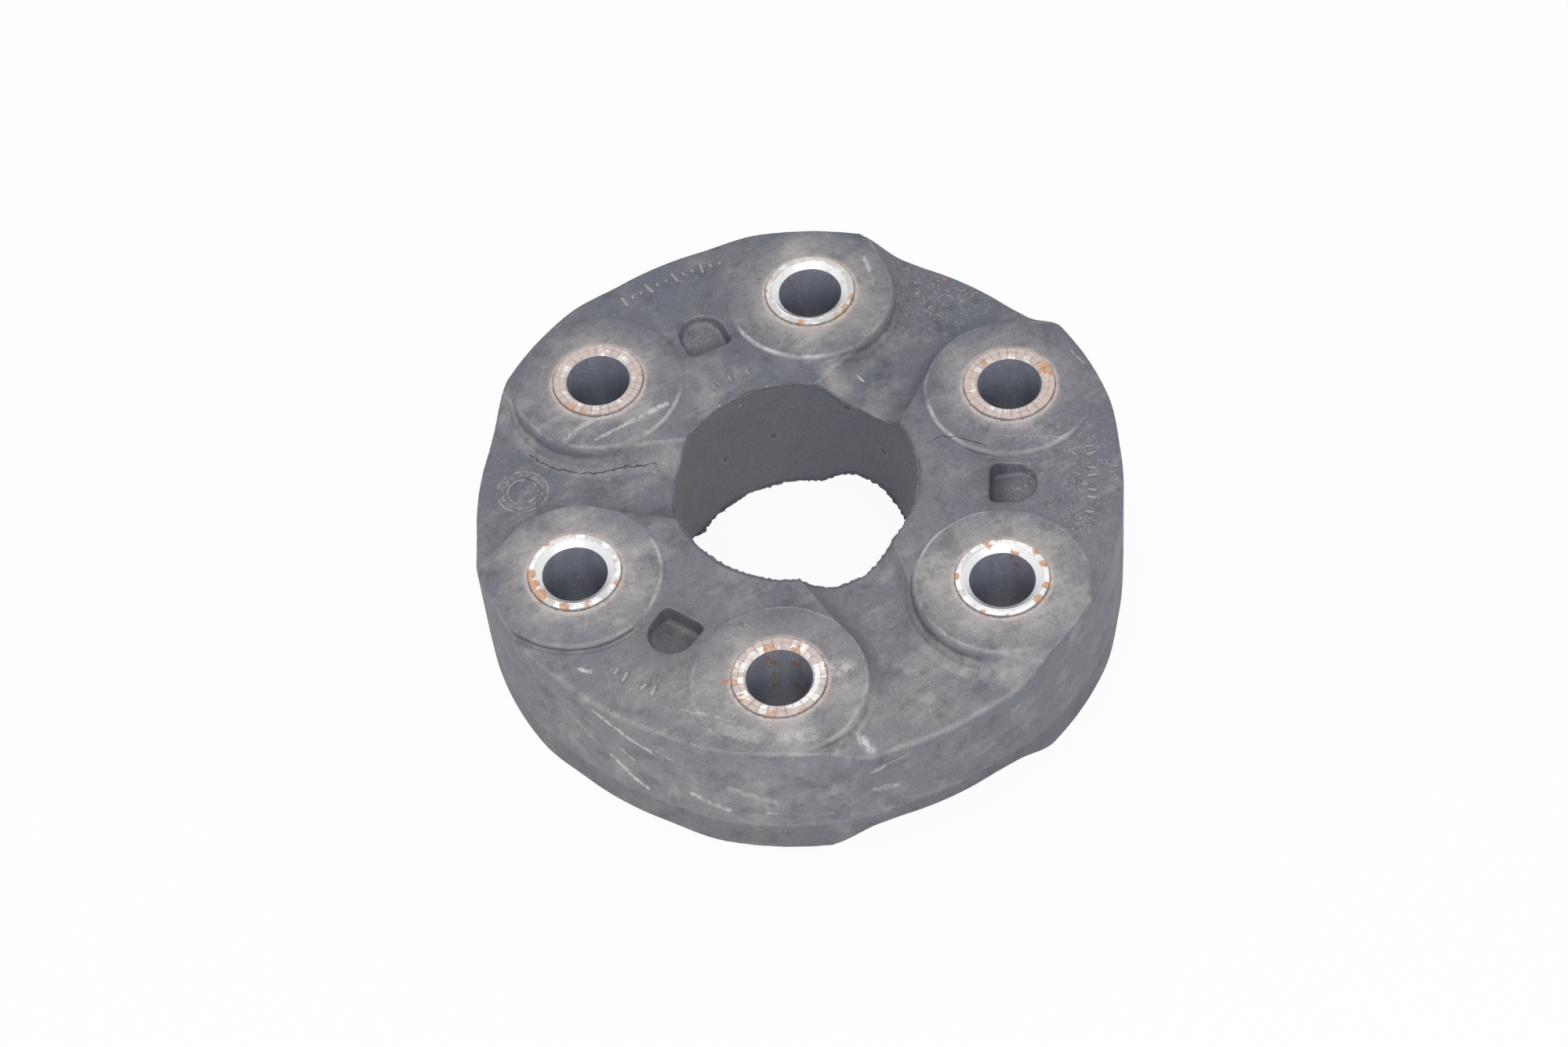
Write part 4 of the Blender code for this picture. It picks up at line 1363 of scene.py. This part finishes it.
@dataclass
class Flash:
    """The thin torn skin that the mould left round the centre hole, at its top and its bottom edge."""

    rubber: Rubber
    thickness: float = 0.35 * MM
    root: float = 0.35 * MM
    reach: float = 0.45 * MM
    steps: int = 900

    def build(self, lower: bool) -> bpy.types.Object:
        """Model one ragged ring and lay it along the edge of the hole.

        Args:
            lower: whether it is the ring at the lower edge.

        Returns:
            The ring.
        """
        hole = self.rubber.hole_radius
        bpy.ops.mesh.primitive_cylinder_add(vertices=self.steps, radius=hole + self.root,
                                            depth=self.thickness)
        piece = new_piece("hole_flash_lower" if lower else "hole_flash_upper")
        edit(piece)
        open_middle(hole + self.root, hole - self.reach)
        close()
        places = coordinates(piece)
        x, y, z = places.T
        angle = np.arctan2(y, x)
        round_trip = np.column_stack((np.cos(angle), np.sin(angle), np.full(len(x), float(lower)))) * 30.0
        torn = 0.5 + 0.9 * noise_field(round_trip, 0.8, 3.0) + 0.9 * noise_field(round_trip, 4.0, 6.0)
        inner = np.hypot(x, y) < hole
        radius = np.where(inner, hole - self.reach * np.clip(torn, 0.02, 1.6), hole + self.root)
        falls = self.rubber.falls_below if lower else self.rubber.falls_above
        edge = 1.0 + 0.3 * MM / hole
        face = self.rubber.face_height(hole * edge * np.cos(angle), hole * edge * np.sin(angle), falls)
        sag = np.where(inner, 0.05, 0.22) * MM + 0.12 * MM * noise_field(round_trip, 2.5, 9.0) * inner
        height = face - sag + np.where(z > 0, 0.0, -self.thickness)
        if lower:
            height = self.rubber.layout.sleeve_length - height
        set_coordinates(piece, np.column_stack((radius * np.cos(angle), radius * np.sin(angle), height)))
        if lower:
            piece.data.flip_normals()
        # the whole ring is darkened a quarter of the way
        paint(piece, "grime_and_shade", np.full(len(x), 0.25))
        return piece

    def dress(self, piece: bpy.types.Object, finish: bpy.types.Material) -> None:
        """Give the ring the rubber's finish and its place in the frame."""
        piece.data.materials.append(finish)
        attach(piece, "root")


@dataclass(frozen=True)
class BarRow:
    """A row of plain bars along an arc: its radius and width in mm, its angles in degrees."""

    radius: float
    start: float
    end: float
    count: int
    length: float
    width: float = 0.7


@dataclass
class MouldMarks:
    """The plain raised bars on the thick arms, worn and of uneven length."""

    rubber: Rubber
    proud: float = 0.42 * MM
    depth: float = 0.8 * MM
    rows: tuple[BarRow, ...] = (
        BarRow(65.0, 109.0, 130.0, 12, 3.0),
        BarRow(32.3, 113.0, 128.0, 7, 2.0, 0.45),
        BarRow(64.0, -7.0, 9.0, 10, 2.6, 0.5),
        BarRow(61.5, 236.0, 247.0, 6, 2.8),
    )

    def bar(self, row: BarRow, index: int) -> bpy.types.Object:
        """Model one bar, rounded along its top, and lay it on the arm."""
        uneven = 0.55 + 0.45 * math.cos(2.1 * index + row.radius)
        size = (row.length * uneven * MM, row.width * MM, self.depth)
        bpy.ops.mesh.primitive_cube_add(size=1.0, scale=size, location=(0, 0, self.proud - self.depth / 2))
        piece = new_piece(f"bar_{round(row.radius)}_{index}")
        edit(piece)
        pick("EDGE", lambda place, normal: place.z > 0)
        bpy.ops.mesh.bevel(offset=0.12 * MM, segments=2)
        close()
        angle = math.radians(row.start + (row.end - row.start) * index / (row.count - 1))
        x, y = row.radius * MM * math.cos(angle), row.radius * MM * math.sin(angle)
        face = self.rubber.face_height(np.array([x]), np.array([y]), self.rubber.falls_above)[0]
        lean = math.radians(12.0) * math.sin(1.7 * index)
        piece.data.transform(Matrix.Translation((x, y, face)) @ Matrix.Rotation(angle + lean, 4, "Z"))
        return piece

    def build(self) -> bpy.types.Object:
        """Model all the bars as one piece.

        Returns:
            The finished piece.
        """
        piece = joined([self.bar(row, i) for row in self.rows for i in range(row.count)], "mould_bars")
        # the bars' share of dust and painted light grows towards the front
        top = coordinates(piece)[:, 1] / MM
        paint(piece, "dust_and_light", 0.62 - 0.003 * top)
        paint(piece, "specks", np.full(len(top), 1.0))
        piece.data.shade_smooth()
        return piece

    def dress(self, piece: bpy.types.Object, finish: bpy.types.Material) -> None:
        """Give the bars the rubber's finish and their place in the frame."""
        piece.data.materials.clear()
        piece.data.materials.append(finish)
        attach(piece, "root")


@dataclass(frozen=True)
class RustSpot:
    """A spot of rust on a sleeve: degrees round its axis, radius and reach in mm."""

    turn: float
    radius: float
    reach: float
    strength: float = 1.0


@dataclass
class Sleeve:
    """One steel sleeve with a bevelled end and a serrated one."""

    layout: Layout
    number: int
    teeth: int = 28
    spokes_per_tooth: int = 8
    tooth_depth: float = 0.16 * MM
    bevel_width: float = 1.35 * MM
    bevel_depth: float = 1.0 * MM
    inner_edge: float = 0.45 * MM
    outer_edge: float = 0.25 * MM
    step_depth: float = 0.09 * MM
    # how much less film each sleeve's teeth get: the front ones are lighter, partly cleaner steel and partly
    # painted light
    clean_and_lit: tuple[float, ...] = (0.0, 0.1, 0.0, 0.6, 0.5, 0.9)
    rust: tuple[tuple[RustSpot, ...], ...] = (
        (RustSpot(25, 9.4, 2.2), RustSpot(36, 8.9, 1.4), RustSpot(136, 8.2, 1.0, 0.8),
         RustSpot(250, 9.9, 1.0, 0.6)),
        (RustSpot(-12, 9.9, 1.0), RustSpot(-32, 9.9, 1.4), RustSpot(-48, 9.8, 1.0),
         RustSpot(180, 9.9, 1.0, 0.6), RustSpot(222, 7.4, 1.0, 0.6), RustSpot(160, 9.8, 0.8, 0.6), RustSpot(262, 9.9, 1.3, 0.7)),
        (RustSpot(236, 9.9, 1.6), RustSpot(255, 9.9, 1.2, 0.8), RustSpot(10, 9.5, 1.2, 0.5),
         RustSpot(170, 9.9, 1.0, 0.6)),
        (RustSpot(186, 9.7, 1.7), RustSpot(203, 9.6, 1.7), RustSpot(222, 9.5, 1.9), RustSpot(133, 9.8, 1.0),
         RustSpot(262, 9.4, 1.4, 0.8), RustSpot(294, 9.2, 1.2, 0.7), RustSpot(-17, 9.9, 0.9),
         RustSpot(100, 9.9, 0.9, 0.6), RustSpot(240, 7.6, 1.2, 0.7)),
        (RustSpot(190, 9.9, 1.4, 0.9), RustSpot(215, 9.7, 1.6, 0.7), RustSpot(262, 9.8, 1.6, 0.8),
         RustSpot(300, 9.9, 1.2, 0.7), RustSpot(20, 9.9, 1.0, 0.5), RustSpot(65, 7.2, 1.4),
         RustSpot(110, 7.2, 1.6)),
        (RustSpot(112, 9.8, 1.3), RustSpot(96, 9.6, 1.0, 0.8), RustSpot(112, 8.2, 1.0),
         RustSpot(22, 9.6, 1.2), RustSpot(45, 9.8, 1.2), RustSpot(-12, 9.6, 1.1), RustSpot(-36, 9.6, 1.2), RustSpot(180, 9.7, 1.0),
         RustSpot(248, 9.8, 0.9, 0.8), RustSpot(280, 9.8, 0.8, 0.6), RustSpot(70, 7.2, 1.2, 0.8)),
    )

    def upper_end(self) -> SleeveEnd:
        """Say which end is up: neighbouring sleeves stand opposite ways."""
        return SleeveEnd.SERRATED if self.number % 2 else SleeveEnd.BEVELLED

    def spread(self, radius: float, height: float, to: float) -> None:
        """Bring a ring of the mesh in edit mode out to another radius."""
        pick("VERT", lambda place, normal: abs(place.xy.length - radius) < 0.1 * MM
             and abs(place.z - height) < 0.01 * MM)
        bpy.ops.transform.resize(value=(to / radius, to / radius, 1.0), center_override=(0, 0, 0))

    def shape_ends(self) -> None:
        """Bevel both ends of the tube in edit mode and ring its upper end with a fine step."""
        layout = self.layout
        top, inner = layout.sleeve_length, layout.bore_radius
        outer = (layout.sleeve_radius + inner) / 2
        pick("EDGE", lambda place, normal: place.xy.length > outer
             and abs(place.z - layout.middle) > 0.9 * layout.middle)
        bpy.ops.mesh.bevel(offset=self.outer_edge, segments=2)
        for height in (top - self.bevel_depth, self.inner_edge):
            bpy.ops.mesh.select_all(action="SELECT")
            bpy.ops.mesh.bisect(plane_co=(0, 0, height), plane_no=(0, 0, 1))
        self.spread(inner, top, inner + self.bevel_width)
        self.spread(inner, 0.0, inner + self.inner_edge)
        for flat, high in ((inner + self.bevel_width, True), (inner + self.inner_edge, False)):
            rim = layout.sleeve_radius - self.outer_edge
            level = top if high else 0.0
            pick("FACE", lambda place, normal: abs(normal.z) > 0.99 and abs(place.z - level) < 0.01 * MM)
            for _ in range(2):
                bpy.ops.mesh.inset(thickness=(rim - flat) / 7)

    def build(self) -> bpy.types.Object:
        """Model the sleeve with its bevelled end up, and turn it over where its other end is."""
        layout = self.layout
        spokes = self.teeth * self.spokes_per_tooth
        bpy.ops.mesh.primitive_cylinder_add(vertices=spokes, radius=layout.sleeve_radius,
                                            depth=layout.sleeve_length, location=(0, 0, layout.middle))
        piece = new_piece(f"steel_sleeve_{self.number}")
        edit(piece)
        open_middle(layout.sleeve_radius, layout.bore_radius)
        self.shape_ends()
        close()
        self.press_teeth(piece)
        outwards = Matrix.Translation((layout.pitch_radius, 0, 0))
        turn = Matrix.Rotation(layout.station(self.number), 4, "Z") @ outwards
        if self.upper_end() is SleeveEnd.SERRATED:
            flip = Matrix.Translation((0, 0, layout.sleeve_length)) @ Matrix.Rotation(math.pi, 4, "X")
            turn = turn @ flip
        piece.data.transform(turn)
        return piece

    def press_teeth(self, piece: bpy.types.Object) -> None:
        """Press the radial grooves into the lower end and the fine step into the upper one."""
        places = coordinates(piece)
        x, y, z = places.T
        radius = np.hypot(x, y)
        pitch = math.tau / self.teeth
        beside = np.abs((np.arctan2(y, x) + pitch / 2) % pitch - pitch / 2) * radius
        low = (z < 0.01 * MM) & (radius > self.layout.bore_radius + self.inner_edge / 2)
        z = np.where(low & (beside < 0.05 * MM), z + self.tooth_depth, z)
        flat = self.layout.bore_radius + self.bevel_width
        width = (self.layout.sleeve_radius - self.outer_edge - flat) / 7
        step = (z > self.layout.sleeve_length - 0.01 * MM) & (np.abs(radius - flat - width) < 0.05 * MM)
        set_coordinates(piece, np.column_stack((x, y, np.where(step, z - self.step_depth, z))))

    def paint_wear_and_light(self, piece: bpy.types.Object) -> None:
        """Paint the distance from the sleeve's axis, the rust spots and each tooth's tone, with less film on
        the front sleeves, partly as painted light.
        """
        places = coordinates(piece) / MM
        angle = self.layout.station(self.number)
        x = places[:, 0] - self.layout.pitch_radius / MM * math.cos(angle)
        y = places[:, 1] - self.layout.pitch_radius / MM * math.sin(angle)
        rust = np.zeros(len(x))
        for spot in self.rust[self.number - 1]:
            turn = math.radians(spot.turn)
            away = np.hypot(x - spot.radius * math.cos(turn), y - spot.radius * math.sin(turn)) / spot.reach
            rust = np.maximum(rust, spot.strength * ease(1.4 - away))
        upper = ease((places[:, 2] - 22.0) / 10.0)
        paint(piece, "radial", np.hypot(x, y), 0.0, 12.0)
        paint(piece, "rust", rust * upper)
        tones = np.random.default_rng(self.number).random(self.teeth)
        middles = np.array([polygon.center.xy[:] for polygon in piece.data.polygons])
        middles = middles - at(angle, self.layout.pitch_radius)
        around = (np.arctan2(middles[:, 1], middles[:, 0]) - angle) % math.tau
        sector = np.floor(around / math.tau * self.teeth)
        # the front sleeves get less film here, which makes them lighter: partly cleaner steel, partly painted
        # light
        tones = tones - self.clean_and_lit[self.number - 1]
        paint(piece, "tone", tones[sector.astype(int) % self.teeth], low=-1.0, domain="FACE")
        pitch = math.tau / self.teeth
        beside = np.abs((np.arctan2(y, x) - angle + pitch / 2) % pitch - pitch / 2) * np.hypot(x, y)
        serrated = (places[:, 2] > self.layout.middle / MM) == (self.upper_end() is SleeveEnd.SERRATED)
        paint(piece, "groove", ((beside < 0.05) & serrated).astype(float))

    def dress(self, piece: bpy.types.Object, finishes: dict[SleeveEnd, bpy.types.Material],
              bore: bpy.types.Material) -> None:
        """Give the ends and the bore their finishes, and the sleeve its place in the frame."""
        piece.data.materials.clear()
        upper = self.upper_end()
        lower = SleeveEnd.BEVELLED if upper is SleeveEnd.SERRATED else SleeveEnd.SERRATED
        for material in (finishes[upper], finishes[lower], bore):
            piece.data.materials.append(material)
        angle = self.layout.station(self.number)
        axis = Vector((math.cos(angle), math.sin(angle))) * self.layout.pitch_radius
        for polygon in piece.data.polygons:
            inwards = (polygon.center.xy - axis).dot(polygon.normal.xy) < 0 and abs(polygon.normal.z) < 0.3
            polygon.material_index = 2 if inwards else int(polygon.center.z < self.layout.middle)
        piece.data.shade_smooth()
        piece.data.set_sharp_from_angle(angle=math.radians(25.0))
        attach(piece, "root")
        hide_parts(f"sleeve_{self.number}")


@dataclass(frozen=True)
class Studio:
    """The pale floor, the soft lamps, the white surroundings and the camera."""

    azimuth: float = math.radians(8.830)
    elevation: float = math.radians(52.972)
    roll: float = math.radians(-6.392)
    distance: float = 789.16 * MM
    offset_x: float = 2.379 * MM
    offset_y: float = 10.346 * MM
    focal_pixels: float = 4662.35
    image_width: float = 2000.0
    sensor: float = 36.0
    ambient: float = 0.62
    floor_size: float = 6.0
    floor_glow: float = 0.94

    def camera(self, top: float) -> None:
        """Set the camera where the photograph was taken from, aimed at the plane of the sleeves' tops."""
        a, e = self.azimuth, self.elevation
        back = Vector((math.sin(a) * math.cos(e), -math.cos(a) * math.cos(e), math.sin(e)))
        right = Vector((math.cos(a), math.sin(a), 0.0))
        up = back.cross(right)
        across = math.cos(self.roll) * right + math.sin(self.roll) * up
        upright = -math.sin(self.roll) * right + math.cos(self.roll) * up
        spot = back * self.distance - self.offset_x * across - self.offset_y * upright + Vector((0, 0, top))
        turn = Matrix((across, upright, back)).transposed().to_4x4()
        data = bpy.data.cameras.new("photo_camera")
        data.sensor_width = self.sensor
        data.lens = self.sensor * self.focal_pixels / self.image_width
        data.clip_start, data.clip_end = 0.01, 20.0
        made = bpy.data.objects.new("photo_camera", data)
        made.matrix_world = Matrix.Translation(spot) @ turn
        bpy.context.scene.collection.objects.link(made)
        bpy.context.scene.camera = made

    def seen_directly(self, tree: bpy.types.NodeTree) -> Socket:
        """Return 1 for what the camera sees, straight or in metal or glass."""
        path = tree.nodes.new("ShaderNodeLightPath")
        found = path.outputs["Is Camera Ray"]
        for name in ("Is Glossy Ray", "Is Transmission Ray"):
            larger = tree.nodes.new("ShaderNodeMath")
            larger.operation = "MAXIMUM"
            tree.links.new(found, larger.inputs[0])
            tree.links.new(path.outputs[name], larger.inputs[1])
            found = larger.outputs[0]
        return found

    def world(self) -> None:
        """Make the surroundings white to the eye and gentler as light."""
        world = bpy.data.worlds.new("studio_white")
        bpy.context.scene.world = world
        world.use_nodes = True
        tree = world.node_tree
        tree.nodes.clear()
        light, white = (tree.nodes.new("ShaderNodeBackground") for _ in range(2))
        light.inputs["Strength"].default_value = self.ambient
        light.inputs["Color"].default_value = white.inputs["Color"].default_value = (1.0, 1.0, 1.0, 1.0)
        mix = tree.nodes.new("ShaderNodeMixShader")
        tree.links.new(self.seen_directly(tree), mix.inputs[0])
        tree.links.new(light.outputs[0], mix.inputs[1])
        tree.links.new(white.outputs[0], mix.inputs[2])
        out = tree.nodes.new("ShaderNodeOutputWorld")
        tree.links.new(mix.outputs[0], out.inputs["Surface"])

    def floor(self) -> None:
        """Lay the floor, which shows nearly white and keeps a faint shadow."""
        bpy.ops.mesh.primitive_plane_add(size=self.floor_size, location=(0, 0, 0))
        floor = new_piece("studio_floor")
        material = bpy.data.materials.new("pale_floor")
        material.use_nodes = True
        tree = material.node_tree
        shader = tree.nodes["Principled BSDF"]
        shader.inputs["Base Color"].default_value = (0.93, 0.93, 0.93, 1.0)
        shader.inputs["Roughness"].default_value = 1.0
        shader.inputs["Specular IOR Level"].default_value = 0.0
        glow = tree.nodes.new("ShaderNodeEmission")
        share = tree.nodes.new("ShaderNodeMath")
        share.operation = "MULTIPLY"
        tree.links.new(self.seen_directly(tree), share.inputs[0])
        share.inputs[1].default_value = self.floor_glow
        mix = tree.nodes.new("ShaderNodeMixShader")
        tree.links.new(share.outputs[0], mix.inputs[0])
        tree.links.new(shader.outputs[0], mix.inputs[1])
        tree.links.new(glow.outputs[0], mix.inputs[2])
        tree.links.new(mix.outputs[0], tree.nodes["Material Output"].inputs["Surface"])
        floor.data.materials.append(material)

    def lamp(self, name: str, spot: Vector, size: float, power: float) -> None:
        """Hang a soft square lamp that looks at the part."""
        data = bpy.data.lights.new(name, "AREA")
        data.size, data.energy = size, power
        made = bpy.data.objects.new(name, data)
        made.location = spot
        made.rotation_euler = (-spot).to_track_quat("-Z", "Y").to_euler()
        bpy.context.scene.collection.objects.link(made)

    def build(self, top: float) -> None:
        """Set up the whole studio round the part."""
        bpy.context.scene.view_settings.view_transform = "Standard"
        self.camera(top)
        self.world()
        self.floor()
        self.lamp("front_lamp", Vector((0.25, -0.95, 0.9)), 0.7, 6.0)
        self.lamp("top_lamp", Vector((-0.35, 0.2, 1.2)), 0.9, 2.5)


def dress_hidden_pieces() -> None:
    """Give the cord loops and the collars, which stay as the frame has them, their finishes."""
    cord, collar = CordFinish().material(), CollarFinish().material()
    for name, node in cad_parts.items():
        finish = cord if "loop" in name else collar if "collar" in name else None
        if finish:
            for slot in node.material_slots:
                slot.material = finish
            log.info("%s has its finish", name)


def main() -> None:
    """Build the pieces in order, and log each finished piece's number of faces."""
    logging.basicConfig(level=logging.INFO, format="%(message)s")
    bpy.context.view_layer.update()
    layout = Layout.measured()
    Studio().build(layout.sleeve_length)
    rubber, worn = Rubber(layout), RubberFinish().material()
    body = rubber.build()
    rubber.dress(body, worn)
    report(body)
    flash, marks = Flash(rubber), MouldMarks(rubber)
    for lower in (False, True):
        ring = flash.build(lower)
        flash.dress(ring, worn)
        report(ring)
    bars = marks.build()
    marks.dress(bars, worn)
    report(bars)
    bright = SleeveFinish("bright_steel", (0.93, 0.93, 0.94), (0.62, 0.59, 0.57), 0.40, 0.26)
    rusty = SleeveFinish("rusty_steel", (0.90, 0.87, 0.85), (0.61, 0.49, 0.46), 0.64)
    finishes = {SleeveEnd.BEVELLED: bright.material(), SleeveEnd.SERRATED: rusty.material()}
    bore = BoreFinish().material()
    for number in range(1, layout.sleeve_count + 1):
        sleeve = Sleeve(layout, number)
        piece = sleeve.build()
        sleeve.paint_wear_and_light(piece)
        sleeve.dress(piece, finishes, bore)
        report(piece)
    dress_hidden_pieces()


if __name__ == "__main__":
    main()
